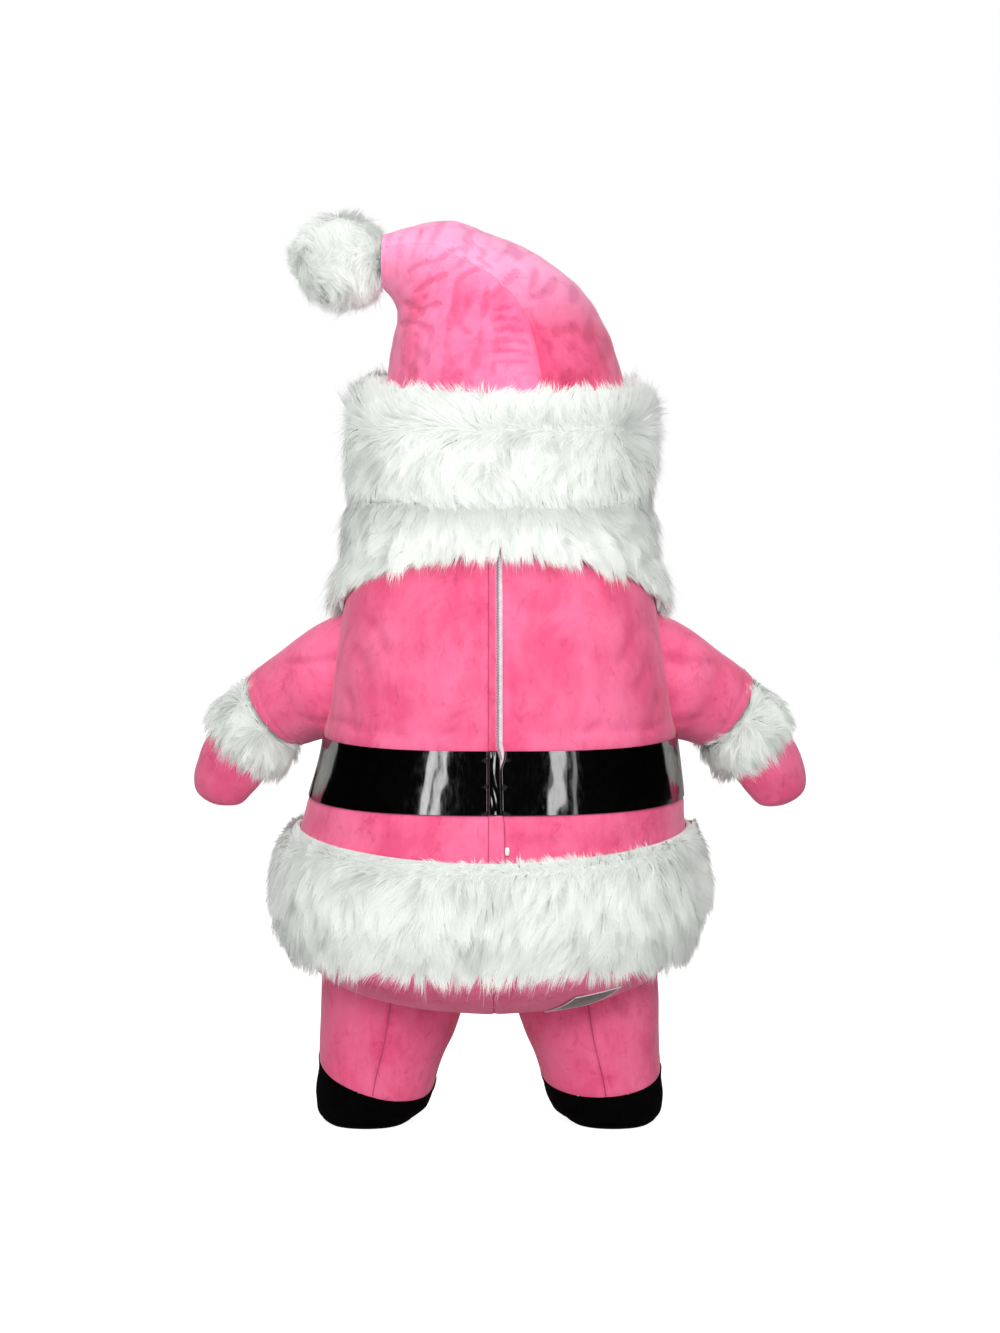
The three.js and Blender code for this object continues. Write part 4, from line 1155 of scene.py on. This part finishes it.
def build_arms():
    for side in (1, -1):
        name = side_name(side)

        def arm_middle(points, u, v, side=side):
            return mirrored(arm_frame(mix(SLEEVE_START, SLEEVE_END, v))[0], side)

        def sleeve(u, v, side=side):
            return arm_point(side, SLEEVE, u * TURN, mix(SLEEVE_START, SLEEVE_END, v), 0)

        def sleeve_relief(points, u, v, side=side):
            creases = grooves(u * SLEEVE_ROUND, v * SLEEVE_LONG, SLEEVE_CREASES)
            edge = 1.2 * np.exp(-(((1 - v) / 0.03) ** 2)) + 1.0 * np.exp(-(((1 - v - 0.12) / 0.02) ** 2))
            return creases + 1.3 * waves(points, 110, 41 + side) - edge

        shell("sleeve_%s_velour" % name, sleeve, arm_middle, 52, 88, True, PINK,
              ["sleeve_" + name], sleeve_relief)

        def hand(u, v, side=side):
            return hand_point(side, u * TURN, mix(HAND_START, HAND_END, v))

        def hand_middle(points, u, v, side=side):
            return mirrored(arm_frame(np.minimum(mix(HAND_START, HAND_END, v), HAND_HEART))[0], side)

        def thumb(u, v, side=side):
            return thumb_point(side, u * TURN, v * THUMB_TIP)

        def thumb_middle(points, u, v, side=side):
            station = np.minimum(v * THUMB_TIP, THUMB_HEART)
            at = stack(*[look(THUMB, "station", axis, station) for axis in "xyz"])
            return mirrored(at, side)

        def hand_relief(points, u, v, side=side):
            to_seam = np.minimum(np.abs(u - 0.5), np.minimum(u, 1 - u)) * HAND_ROUND_IT
            seam = np.exp(-((to_seam / 4) ** 2))
            return 1.6 * waves(points, 70, 45 + side) - 1.3 * seam * smooth(v, 0.4, 0.6)

        parts, cuts = [], []
        for form, middle, rows, columns in ((hand, hand_middle, 46, 56), (thumb, thumb_middle, 20, 28)):
            u, v = grid_of(rows, columns, True)
            points, normals = outward_normals(form, middle, u, v)
            relief = hand_relief(points, u, v)
            cuts.append(cut_from(points, True))
            parts.append(wall(points + normals * relief[..., None],
                              points + normals * (relief - CLOTH)[..., None], True))
        corners = np.concatenate([part[0] for part in parts])
        faces = np.concatenate([parts[0][1], parts[1][1] + len(parts[0][0])])
        piece = new_piece("mitten_%s_velour" % name, corners, faces, PINK, ["mitten_" + name])


HAT_CREASES = [
    # x, z, to x, to z, width, depth. The first eight pull in towards the seam, the rest cross the drape.
    (10, 1712, -78, 1706, 5, 3.2),
    (18, 1734, -70, 1730, 5, 3.6),
    (24, 1758, -62, 1756, 5, 3.6),
    (26, 1782, -54, 1782, 5, 3.2),
    (26, 1806, -46, 1808, 5, 3.0),
    (20, 1828, -38, 1834, 5, 2.4),
    (-112, 1760, -84, 1764, 5, 1.4),
    (-104, 1790, -76, 1796, 5, 1.4),
    (60, 1772, 92, 1804, 6, 2.6),
    (150, 1948, 88, 1984, 7, 4.0),
    (196, 1880, 108, 1920, 8, 4.0),
    (96, 1900, 28, 1938, 7, 3.4),
    (16, 1862, -52, 1930, 9, 4.2),
    (210, 1930, 150, 1952, 8, 3.2),
    (180, 1840, 120, 1850, 9, 2.6),
    (226, 1868, 160, 1820, 10, 3.2),
    (232, 1820, 150, 1790, 9, 2.4),
    (100, 2020, 30, 1966, 9, 2.2),
    (60, 1960, 10, 1920, 8, 1.8),
    (-120, 1900, -60, 1850, 12, 1.6),
    (-180, 1810, -110, 1780, 12, 1.6),
    (-20, 2010, -50, 1950, 12, 1.6),
]


def build_hat():
    edge = 0.0006
    for name, start, end in (("hat_left", -QUARTER, HAT_SEAM), ("hat_right", HAT_SEAM, FRONT)):
        def form(u, v, start=start, end=end):
            return hat_point(mix(start + edge, end - edge, u), v)

        def middle(points, u, v):
            return (hat_point(0 * v, v) + hat_point(0 * v + math.pi, v)) / 2

        def relief(points, u, v):
            x, z = points[..., 0], points[..., 2]
            to_seam = np.minimum(u, 1 - u) * math.pi * mix(262, 62, v)
            seam = -2.4 * np.exp(-((to_seam / 5) ** 2))
            swell = 2.4 * waves(points, 150, 51) + 1.1 * waves(points, 55, 52)
            return grooves(x, z, HAT_CREASES) + seam + swell

        def crowd(shares, at_end=name == "hat_left"):
            """More columns towards the seam at the back."""
            eased = 1 - (1 - shares) ** 1.7 if at_end else shares ** 1.7
            return 0.3 * shares + 0.7 * eased

        pile = PALE_PINK if name == "hat_left" else HAT_PINK
        shell(name + "_velour", form, middle, 100, 130, False, pile, [name], relief, crowd=crowd,
              crease_shade_depth=0.5)


LUMP_WALL = 2.0


def lump(name, angle, height, half_width, half_height, half_depth, material, node_name, crown):
    """A domed lump on the face."""
    middle = head_point(np.array(angle), np.array(height))
    out = unit(middle * np.array([1, 1, 0]))
    across = np.array([-out[1], out[0], 0])

    def dome(u, v):
        ring = np.sin(v * QUARTER)
        rise = np.cos(v * QUARTER) ** crown
        point = middle + out * (half_depth * rise)[..., None]
        point = point + across * (half_width * ring * np.cos(u * TURN))[..., None]
        point[..., 2] = height + half_height * ring * np.sin(u * TURN)
        return point

    u, v = grid_of(18, 40, True)
    outer = dome(u, np.clip(v, 0.01, 1))
    corners, faces = wall(outer, outer - out * LUMP_WALL, True)
    return new_piece(name, corners, faces, material, [node_name])


EYE_TURN, EYE_HEIGHT, NOSE_HEIGHT = 0.27, 1382, 1346


def build_face():
    def edges(angle):
        away = np.abs(angle - FRONT) / COLUMN
        top = brim_low(angle) - SEAM
        over_beard = np.minimum(beard_edges(angle)[0] + 1.2, top - 1)
        return top, np.where(away > FACE_SPAN - 0.5, top - 1, over_beard)

    def form(u, v):
        angle = FRONT + mix(-FACE_SPAN, FACE_SPAN, u) * COLUMN
        top, bottom = edges(angle)
        return moved_level(head_point(angle, mix(bottom, top, v)), 0 * angle + CLOTH)

    def relief(points, u, v):
        return waves(points, 110, 61)

    shell("face_plush", form, upright, 30, 60, False, SKIN, ["face"], relief)

    for side in (1, -1):
        name = side_name(side)
        lump("eye_%s_dome" % name, FRONT + side * EYE_TURN, EYE_HEIGHT, 20, 27, 10, EYE,
             "eye_" + name, 0.9)
    nose = lump("nose_plush_lump", FRONT, NOSE_HEIGHT, 42, 35, 40, NOSE, "nose", 1.0)


# Belt, flap and zip

ZIP_TOP, ZIP_BOTTOM, TAPE_BOTTOM, TEETH_BOTTOM = 1296, 634, 822, 850
TAPE_UNDER, TAPE_SHOWN, TAPE_POINT_FROM, TAPE_POINT_LONG = 6, 14, 872, 46
SEWN_ACROSS, FLAP_LIFT = 24, 3.4
TOOTH_PITCH, TOOTH_WIDE, TOOTH_TALL, TOOTH_DEEP = 3.4, 4.2, 2.0, 1.9
TOOTH_FROM_EDGE, TOOTH_STAGGER, TOOTH_LIFT = 3.6, 0.5, 2.6
SLIDER_ACROSS, SLIDER_LOW, SLIDER_HIGH, SLIDER_WIDE = -15, 649, 666, 10
FREE_EDGE = table("height across", [
    (1300, 9.0), (1100, 8.0), (880, 8.0), (850, 0.0), (740, -3.0), (715, -8.0), (600, -10.0),
])


def angle_across(x, height):
    """The angle at which the body's back is a distance across from the zip."""
    low, high = np.full(np.shape(x), QUARTER - 0.4), np.full(np.shape(x), QUARTER + 0.4)
    for _ in range(34):
        middle = (low + high) / 2
        beyond = body_point(middle, height)[..., 0] > x
        low = np.where(beyond, middle, low)
        high = np.where(beyond, high, middle)
    return (low + high) / 2


def back_point(x, height, distance):
    """A point over the body's back, given across and up, a distance out from the cloth."""
    angle = angle_across(x, height)
    normals = normals_of(body_point, angle, height)
    side = np.sign(normals[..., 1:2])
    return body_point(angle, height) + normals * side * np.asarray(distance, float)[..., None]


def strip(name, top, bottom, left, right, lift, thick, rows, columns, material, nodes, relief=None):
    """A strip along the zip between two edges that are given across the back at each height."""
    u, v = grid_of(rows, columns, False)
    height = mix(top, bottom, v)
    x = mix(left(height), right(height), u)
    extra = relief(x, height, u, v) if relief else 0 * u
    outer = back_point(x, height, lift + thick + extra)
    inner = back_point(x, height, lift + extra * 0.6)
    corners, faces = wall(outer, inner, False)
    piece = new_piece(name, corners, faces, material, nodes)
    cut_from(outer, False)
    return piece


def free_edge(height):
    """Where the flap's free edge lies across the back."""
    return np.interp(-height, -FREE_EDGE["height"], FREE_EDGE["across"])


def zip_edge(height):
    """Where the tape that shows beside the flap ends. It narrows to nothing inside the belt."""
    return free_edge(height) - TAPE_SHOWN * (1 - smooth(TAPE_POINT_FROM - height, 0, TAPE_POINT_LONG))


def build_teeth():
    count = int((ZIP_TOP - TEETH_BOTTOM) / TOOTH_PITCH)
    heights = ZIP_TOP - TOOTH_PITCH * (np.arange(count) + 0.5)
    corners, faces = [], []
    box = np.array([(i, j, k) for i in (0, 1) for j in (0, 1) for k in (0, 1)], float)
    sides = [(0, 1, 3, 2), (4, 6, 7, 5), (0, 4, 5, 1), (2, 3, 7, 6), (0, 2, 6, 4), (1, 5, 7, 3)]
    for i, height in enumerate(heights):
        stagger = TOOTH_STAGGER if i % 2 else -TOOTH_STAGGER
        middle = float(free_edge(np.array(height))) - TOOTH_FROM_EDGE + stagger
        x = middle + (box[:, 0] - 0.5) * TOOTH_WIDE
        z = height + (box[:, 1] - 0.5) * TOOTH_TALL
        corners.append(back_point(x, z, TOOTH_LIFT + box[:, 2] * TOOTH_DEEP))
        faces += [[index + 8 * i for index in side] for side in sides]
    # The teeth take the darkened mauve: painted shade of the flap over them.
    teeth = new_piece("zip_teeth", np.concatenate(corners), np.array(faces), SHADED_TEETH)
    teeth.data.shade_flat()


def piping(name, start, end, x_of, radius, lift, material):
    """A thin cord sewn along the zip, between two heights."""
    height = np.linspace(start, end, 120)
    turn = np.linspace(0, TURN, 9)[:-1]
    middle_x = x_of(height)[:, None] + radius * np.cos(turn)[None]
    distance = lift + radius * np.sin(turn)[None] + 0 * height[:, None]
    rows = back_point(middle_x, height[:, None] + 0 * turn[None], distance)
    return new_piece(name, rows.reshape(-1, 3), quads(len(height) - 1, 8, True), material)


def build_slider():
    u, v = grid_of(10, 8, False)
    height = mix(SLIDER_LOW, SLIDER_HIGH, v)
    x = SLIDER_ACROSS + (0.5 - u) * SLIDER_WIDE * (0.72 + 0.28 * np.sin(np.pi * v))
    crown = 5.4 + 1.6 * np.sin(np.pi * u) * np.sin(np.pi * v)
    corners, faces = wall(back_point(x, height, crown), back_point(x, height, 0 * u + 2.6), False)
    new_piece("zip_slider_body", corners, faces, SLIDER, ["zip_slider"])


def build_zip():
    def under(height):
        return free_edge(height) + TAPE_UNDER

    def sewn(height):
        return SEWN_ACROSS + 0 * height

    def flap_relief(x, height, u, v):
        fold = 0.9 * np.exp(-(((1 - u) / 0.22) ** 2))
        ripple = 0.7 * np.sin(height / 23.0 + np.sin(height / 57.0) * 2) * u ** 2
        return fold + ripple - 0.8 * np.exp(-((u / 0.12) ** 2))

    def crumple(x, height, u, v):
        long_folds = 0.9 * np.sin(u * 7.5 + 1.6 * np.sin(height / 21.0) + height / 60.0)
        dents = 0.4 * np.sin(height / 9.5 + 4 * u) * np.sin(height / 23.0 + 1.0)
        return 2.0 + (long_folds + dents) * np.sin(np.pi * np.clip(u * 0.85 + 0.1, 0, 1))

    def rolled(height):
        return free_edge(height) + 1.5

    def shaded(height):
        return free_edge(height) - 0.5

    strip("zip_tape_cloth", ZIP_TOP, TAPE_BOTTOM, under, zip_edge, 1.6, 1.4, 110, 6, TAPE,
          ["zip_tape"])
    build_teeth()
    over_belt, under_belt = BELT_TOP + SEAM, BELT_BOTTOM - SEAM
    # The upper flap takes the darker pink, painted shade where it rolls over the zip.
    strip("flap_upper_velour", ZIP_TOP, over_belt, sewn, free_edge, FLAP_LIFT, 2.4, 150, 10, SHADED_FLAP_PINK,
          ["flap_upper"], flap_relief)
    strip("flap_belt_patent", BELT_TOP, BELT_BOTTOM, sewn, free_edge, FLAP_LIFT, 2.0, 60, 16, PATENT,
          ["flap_belt"], crumple)
    strip("flap_lower_velour", under_belt, ZIP_BOTTOM, sewn, free_edge, FLAP_LIFT, 2.4, 40, 10, PINK,
          ["flap_lower"], flap_relief)
    piping("flap_upper_piping", ZIP_TOP, over_belt, rolled, 1.6, 6.6, PALE_PINK)
    # A dark cord in thread colour along the lower flap's edge, as painted shadow under that edge.
    piping("flap_lower_shadow_cord", under_belt, ZIP_BOTTOM, shaded, 1.3, 5.2, THREAD)
    piping("flap_seam_thread", ZIP_TOP, over_belt, sewn, 0.9, 4.6, THREAD)
    piping("flap_seam_thread_low", under_belt, ZIP_BOTTOM, sewn, 0.9, 4.6, THREAD)
    build_slider()


BELT_TO_TAPE, BELT_TO_FLAP = 0.5, 0.6


def build_belt():
    def form(u, v):
        height = mix(BELT_TOP, BELT_BOTTOM, v)
        start = angle_across(zip_edge(height) - BELT_TO_TAPE, height)
        end = angle_across(SEWN_ACROSS + BELT_TO_FLAP + 0 * height, height) + TURN
        angle = mix(start, end, u)
        return body_point(angle, height + BELT_RISE * np.cos(angle) ** 4)

    def relief(points, u, v):
        end_pull = np.exp(-((u / 0.012) ** 2)) + np.exp(-(((1 - u) / 0.012) ** 2))
        ripple = 0.5 * waves(points, 160, 71) + 0.25 * waves(points, 60, 72)
        return ripple + 1.2 * end_pull * np.sin(points[..., 2] / 9.0)

    shell("belt_patent", form, upright, 20, 330, False, PATENT, ["belt"], relief, 2, lift=3.4)


def build_vent():
    """The net window in the base with its light binding."""
    low, high, slant = 282, 330, 18

    def form(u, v):
        angle = mix(2.09, 2.35, u)
        return body_point(angle, mix(low, high, v) + slant * u)

    # A dark sheet under the net: painted shade of the hollow seen through it.
    shell("vent_shade_sheet", form, upright, 12, 30, False, VENT_SHADE, ["vent_mesh"],
          lambda points, u, v: 0 * u + 1.0, 1.0, lift=1.2)

    def tubes(name, lines, radius, lift, material):
        corners, faces, total = [], [], 0
        for u1, v1, u2, v2 in lines:
            across, down = np.linspace(u1, u2, 24), np.linspace(v1, v2, 24)
            points, sides = tube_on(form, upright, across, down, radius, lift)
            corners.append(points)
            faces.append(sides + total)
            total += len(points)
        new_piece(name, np.concatenate(corners), np.concatenate(faces), material)

    edges = [(0, 0, 1, 0), (0, 1, 1, 1), (0, 0, 0, 1), (1, 0, 1, 1)]
    tubes("vent_binding", edges, 1.7, 2.8, TAPE)
    upright_lines = [(k / 30, 0, k / 30, 1) for k in range(1, 30)]
    level_lines = [(0, k / 14, 1, k / 14) for k in range(1, 14)]
    tubes("vent_net", upright_lines + level_lines, 0.5, 2.4, MESH)


# Fur pieces

HEM_STRANDS = (49000, 40000)
BRIM_STRANDS, HAIR_STRANDS, BEARD_STRANDS = 46000, 23500, 20000
CUFF_STRANDS, POMPOM_STRANDS, LIP_STRANDS = 8500, 14000, 2500
STRAND_STEPS = 2
WISP_SHARE = 0.08


def locks(angle, share):
    comb = np.sin(11 * angle + 3.1 * share) * np.sin(7 * angle - 5 * share + 1.3)
    middle = np.sin(np.pi * np.clip(share, 0, 1))
    return 7 * comb * middle + 2 * np.sin(19 * angle + 9 * share)


def hem_form(share_out):
    def form(u, v):
        angle = u * TURN
        height = mix(hem_top(angle) + 10 * (1 - v) ** 3, hem_bottom(angle), v)
        reach = look(HEM_FUR, "share", "reach", v) + locks(angle, v)
        base = body_point(angle, np.maximum(height, BASE_RIM))
        point = moved_level(base, mix(2.4, reach, share_out))
        point[..., 2] = height
        return point
    return form


def brim_form(share_out):
    def form(u, v):
        angle = u * TURN
        height = mix(brim_low(angle) + SEAM, brim_high(angle) + FUR_LIFT * np.clip(share_out * 1.6, 0, 1), v)
        reach = look(BRIM_FUR, "share", "reach", v) + locks(angle, v) - 24 * v ** 6
        outer = moved_level(head_point(angle, height), reach)
        low = head_point(angle, brim_low(angle) + SEAM)
        high = hat_point(angle, 0 * angle)
        inner = low + (high - low) * v[..., None]
        return inner + (outer - inner) * share_out
    return form


def hair_form(share_out):
    start = FRONT + BEARD_SPAN * COLUMN - TURN

    def form(u, v):
        angle = start + u * (40 - 2 * BEARD_SPAN) * COLUMN
        height = mix(brim_low(angle), hair_bottom(angle), v)
        reach = look(HAIR_FUR, "share", "reach", v) + locks(angle, v)
        return moved_level(lining_point(angle, height), reach * share_out)
    return form


def beard_form(share_out):
    def form(u, v):
        angle = FRONT + mix(-BEARD_SPAN, BEARD_SPAN, u) * COLUMN
        top, bottom = beard_edges(angle)
        height = mix(top, bottom, v)
        front = BEARD_EXTRA * np.cos(angle - FRONT) ** 2 * np.sin(np.pi * v)
        reach = look(HAIR_FUR, "share", "reach", v) + front + locks(angle, v)
        return moved_level(lining_point(angle, height), reach * share_out)
    return form


def cuff_form(side, share_out):
    def form(u, v):
        station = mix(CUFF_START, CUFF_END, v)
        reach = look(CUFF, "station", "reach", station) + 0.5 * locks(u * TURN, v)
        return arm_point(side, MITTEN, u * TURN, station, mix(1.2, reach, share_out))
    return form


def pompom_form(share_out):
    def form(u, v):
        tilt = np.sin(np.clip(v, 0, 1) * math.pi)
        angle = u * TURN
        return stack(POMPOM_X - share_out * POMPOM_HALF_X * np.cos(v * math.pi),
                     share_out * POMPOM_HALF_Y * tilt * np.cos(angle),
                     POMPOM_Z + share_out * POMPOM_HALF_Z * tilt * np.sin(angle))
    return form


def moustache_form(side, share_out):
    def form(u, v):
        radius = look(MOUSTACHE, "share", "radius", v) * share_out
        full = look(MOUSTACHE, "share", "radius", v)
        height = look(MOUSTACHE, "share", "height", v)
        base = head_point(FRONT + side * look(MOUSTACHE, "share", "angle", v), height)
        point = moved_level(base, CLOTH + 1 + full + radius * np.cos(u * TURN))
        point[..., 2] = height + radius * np.sin(u * TURN)
        return point
    return form


def backing(name, form_at, middle, rows, columns, ring, node, share, lumps, seed, part=1, fill=0.5):
    """The dense ground of a fur piece, with the wadding under it. Without a fill its flat cut is worked out too,
    and not kept.
    """
    u, v = grid_of(rows, columns, ring)
    v = v * part
    outer, normals = outward_normals(form_at(share), middle, u, v)
    outer = outer + normals * (lumps * waves(outer, 36, seed))[..., None]
    inner = form_at(0.0)(u, v)
    corners, faces = wall(outer, inner, ring)
    piece = new_piece(name, corners, faces, BACKING, [node])
    if fill is None:
        cut_from(outer, ring)
    return piece


def fur(name, form_at, middle, comb, count, length, seed, small, large, node, root, width, lift, droop,
        clump=0.4, spans=(0, 1, 0, 1), skylight=0.1, painted_shadow_at=None):
    """A pile of strands rooted in the backing, lying along the comb and gathered in small and large locks."""
    rng = np.random.default_rng(seed)
    count = int(count * DENSITY)
    form = form_at(root)
    u = rng.uniform(spans[0], spans[1], count)
    v = rng.uniform(spans[2], spans[3], count)
    small_lock, small_middle = nearest_cell(u, v, *small, rng)
    large_lock, large_middle = nearest_cell(u, v, *large, rng)
    small_kinds = small[0] * (small[1] + 2)
    large_kinds = large[0] * (large[1] + 2)
    own = rng.normal(size=(count, 3))
    tuft = rng.normal(size=(small_kinds, 3))[small_lock]
    swirl = rng.normal(size=(large_kinds, 3))[large_lock]
    points, normals = outward_normals(form, middle, u, v)
    flow = unit(comb(points, normals, u, v)) + 0.1 * own + 0.14 * tuft + 0.32 * swirl
    flow = unit(flow - normals * np.sum(flow * normals, axis=-1, keepdims=True))
    reach = length(u, v) * rng.uniform(0.7, 1.1, count) * rng.uniform(0.85, 1.12, small_kinds)[small_lock]
    # A few thin hairs reach further than the rest.
    wisp = rng.uniform(0, 1, count) < WISP_SHARE
    reach = np.where(wisp, 1.4 * reach, reach)
    lifted = lift(u, v) if callable(lift) else lift
    rise = lifted * rng.uniform(0.75, 1.25, count) * rng.uniform(0.6, 1.35, small_kinds)[small_lock]
    rise = rise * rng.uniform(0.75, 1.2, large_kinds)[large_lock]
    small_heart = form(small_middle[:, 0], np.clip(small_middle[:, 1], 0, 1))
    large_heart = form(large_middle[:, 0], np.clip(large_middle[:, 1], 0, 1))
    pull = (small_heart - points) * clump + (large_heart - points) * 0.25 * clump
    limit = 0.5 * reach / np.maximum(np.linalg.norm(pull, axis=-1), 1e-6)
    pull = pull * (np.minimum(limit, 1) * np.where(wisp, 0.4, 1))[:, None]
    down = np.array([0, 0, -1.0])
    paths = [points]
    for k in range(1, STRAND_STEPS + 1):
        t = (k - 0.5) / STRAND_STEPS
        direction = unit(flow + normals * (rise * (1.4 - 1.0 * t))[:, None] + down * droop * t)
        paths.append(paths[-1] + direction * (reach / STRAND_STEPS)[:, None])
    paths = np.stack(paths, axis=1)
    gather = np.linspace(0, 1, STRAND_STEPS + 1)[None, :, None] ** 1.3
    paths = paths + pull[:, None, :] * gather * rng.uniform(0.6, 1.0, count)[:, None, None]
    facing = unit(normals + 0.4 * own)
    soft = unit(normals + 0.08 * own + 0.14 * tuft + 0.1 * swirl + np.array([0, 0, skylight]))
    shades = rng.normal(0.93, 0.05, count) + rng.normal(0, 0.035, small_kinds)[small_lock]
    # Painted shadow: some pieces darken their strands where another piece overhangs them.
    if painted_shadow_at:
        shades = shades * painted_shadow_at(u, v)
    widths = width * rng.uniform(0.6, 1.2, count) * np.where(wisp, 0.55, 1)
    return strand_piece(name, facing, soft, paths, widths, np.clip(shades, 0.3, 1), FUR, [node])


def build_hem():
    def comb(points, normals, u, v):
        x = points[..., 0]
        back = points[..., 1] > 0
        sweep = 0.75 * smooth(x, 120, 260) * (1 - smooth(x, 380, 460)) * back
        side = sweep - 0.35 * smooth(-x, 260, 420) + 0.5 * waves(points, 240, 81)
        return stack(side, 0.3 * waves(points, 240, 82), mix(0.5, -1.0, smooth(v, 0.02, 0.14)))

    def length(u, v):
        at_side = np.cos(u * TURN) ** 2
        return 24 + 48 * smooth(v, 0, 0.25) - (18 + 16 * at_side) * smooth(v, 0.6, 0.86)

    def lift(u, v):
        return 1.0 - 0.45 * smooth(v, 0, 0.25) - 0.2 * smooth(v, 0.6, 1)

    backing("hem_fur_backing", hem_form, upright, 20, 160, True, "hem_fur", 0.33, 2, 83, part=0.86)
    for index, (start, end) in enumerate(((0, 0.5), (0.5, 1))):
        fur("hem_fur_pile_" + ("back", "front")[index], hem_form, upright, comb, HEM_STRANDS[index], length,
            84 + index, (150, 12), (40, 4), "hem_fur", root=0.33, width=1.7, lift=lift, droop=0.35,
            spans=(start, end, 0.005, 0.86))


def build_brim():
    def comb(points, normals, u, v):
        around = np.cross(np.array([0, 0, 1.0]), normals)
        up = 2 * smooth(v, 0.45, 0.9) - mix(0.5, 1, smooth(v, 0, 0.2))
        swirl = 1.1 * waves(points, 300, 91)
        return around * swirl[..., None] + stack(0 * up, 0 * up, up + 0.5 * waves(points, 180, 92))

    def length(u, v):
        return 40 + 22 * smooth(v, 0, 0.4) - 30 * smooth(v, 0.7, 1)

    def lift(u, v):
        return 0.42 + 0.3 * smooth(v, 0.2, 0.6)

    def painted_shadow_at(u, v):
        # Painted shadow along the brim's lower edge, in the crease over the hair.
        return mix(0.8, 1, smooth(v, 0, 0.2))

    backing("brim_fur_backing", brim_form, upright, 20, 130, True, "brim_fur", 0.42, 2.5, 93)
    fur("brim_fur_pile", brim_form, upright, comb, BRIM_STRANDS, length, 94, (120, 12), (34, 4), "brim_fur",
        root=0.42, width=1.7, lift=lift, droop=0.15, painted_shadow_at=painted_shadow_at)


def build_hair():
    def comb(points, normals, u, v):
        x = points[..., 0]
        return stack(0.9 * np.clip(x / 260, -1, 1) + 0.35 * waves(points, 160, 101), 0 * x, -1.0)

    def length(u, v):
        return 60 - 16 * smooth(v, 0.5, 1)

    def painted_shadow_at(u, v):
        # Painted shadow along the hair's top, under the brim's overhang.
        return mix(0.66, 1, smooth(v, 0.02, 0.34))

    backing("hair_fur_backing", hair_form, upright, 16, 80, False, "hair_fur", 0.32, 2, 102, part=0.86,
            fill=None)
    fur("hair_fur_pile", hair_form, upright, comb, HAIR_STRANDS, length, 103, (70, 8), (24, 3), "hair_fur",
        root=0.3, width=1.9, lift=0.5, droop=0.3, spans=(0, 1, 0, 0.84), painted_shadow_at=painted_shadow_at)


def build_beard():
    def comb(points, normals, u, v):
        x = points[..., 0]
        return stack(0.5 * np.clip(x / 300, -1, 1) + 0.35 * waves(points, 130, 111), 0 * x, -1.0)

    def length(u, v):
        return 62 + 10 * np.sin(np.pi * v)

    backing("beard_fur_backing", beard_form, upright, 20, 80, False, "beard_fur", 0.36, 4, 112)
    fur("beard_fur_pile", beard_form, upright, comb, BEARD_STRANDS, length, 113, (70, 9), (24, 4),
        "beard_fur", root=0.32, width=2.0, lift=0.55, droop=0.3)


def build_cuffs():
    for side in (1, -1):
        def middle(points, u, v, side=side):
            return mirrored(arm_frame(mix(CUFF_START, CUFF_END, v))[0], side)

        def comb(points, normals, u, v, side=side):
            along = mirrored(arm_frame(mix(CUFF_START, CUFF_END, v))[1], side)
            around = np.cross(along, normals)
            forward = 1.5 * smooth(v, 0, 0.4) - 0.6
            return along * forward[..., None] + around * (0.7 * waves(points, 90, 121))[..., None]

        def length(u, v):
            return 44 + 6 * np.sin(np.pi * v)

        name = "cuff_fur_" + side_name(side)
        form_at = partial(cuff_form, side)
        backing(name + "_backing", form_at, middle, 12, 70, True, name, 0.4, 3, 122)
        fur(name + "_pile", form_at, middle, comb, CUFF_STRANDS, length, 123 + side, (36, 5), (14, 3), name,
            root=0.36, width=2.0, lift=0.7, droop=0.4)


def build_pompom():
    def middle(points, u, v):
        return 0 * points + np.array([POMPOM_X, 0, POMPOM_Z])

    def comb(points, normals, u, v):
        x, y, z = [waves(points, 120, 131 + k) for k in range(3)]
        return stack(0.7 * x, 0.7 * y, 0.8 * z - 0.2)

    def length(u, v):
        return 44

    backing("pompom_core", lambda share: pompom_form(max(share, 0.3)), middle, 24, 40, True, "pompom", 0.8, 3,
            134)
    fur("pompom_pile", pompom_form, middle, comb, POMPOM_STRANDS, length, 135, (30, 15), (10, 5), "pompom",
        root=0.84, width=1.7, lift=0.5, droop=0.1, clump=0.3, skylight=0.3)


def build_moustache():
    for side in (1, -1):
        def middle(points, u, v, side=side):
            return moustache_form(side, 0.0)(u, v)

        def comb(points, normals, u, v, side=side):
            return stack(side + 0 * u, 0 * u, -0.35)

        def length(u, v):
            return 34

        name = "moustache_" + side_name(side)
        form_at = partial(moustache_form, side)
        backing(name + "_core", form_at, middle, 20, 24, True, name, 0.7, 1.5, 141)
        fur(name + "_pile", form_at, middle, comb, LIP_STRANDS, length, 142 + side, (16, 14), (8, 6), name,
            root=0.68, width=1.8, lift=0.4, droop=0.15)


build_camera()
build_floor()
build_lights()
build_world()
build_body()
build_base()
build_legs()
build_arms()
build_hat()
build_face()
build_zip()
build_belt()
build_vent()
build_hem()
build_brim()
build_hair()
build_beard()
build_cuffs()
build_pompom()
build_moustache()
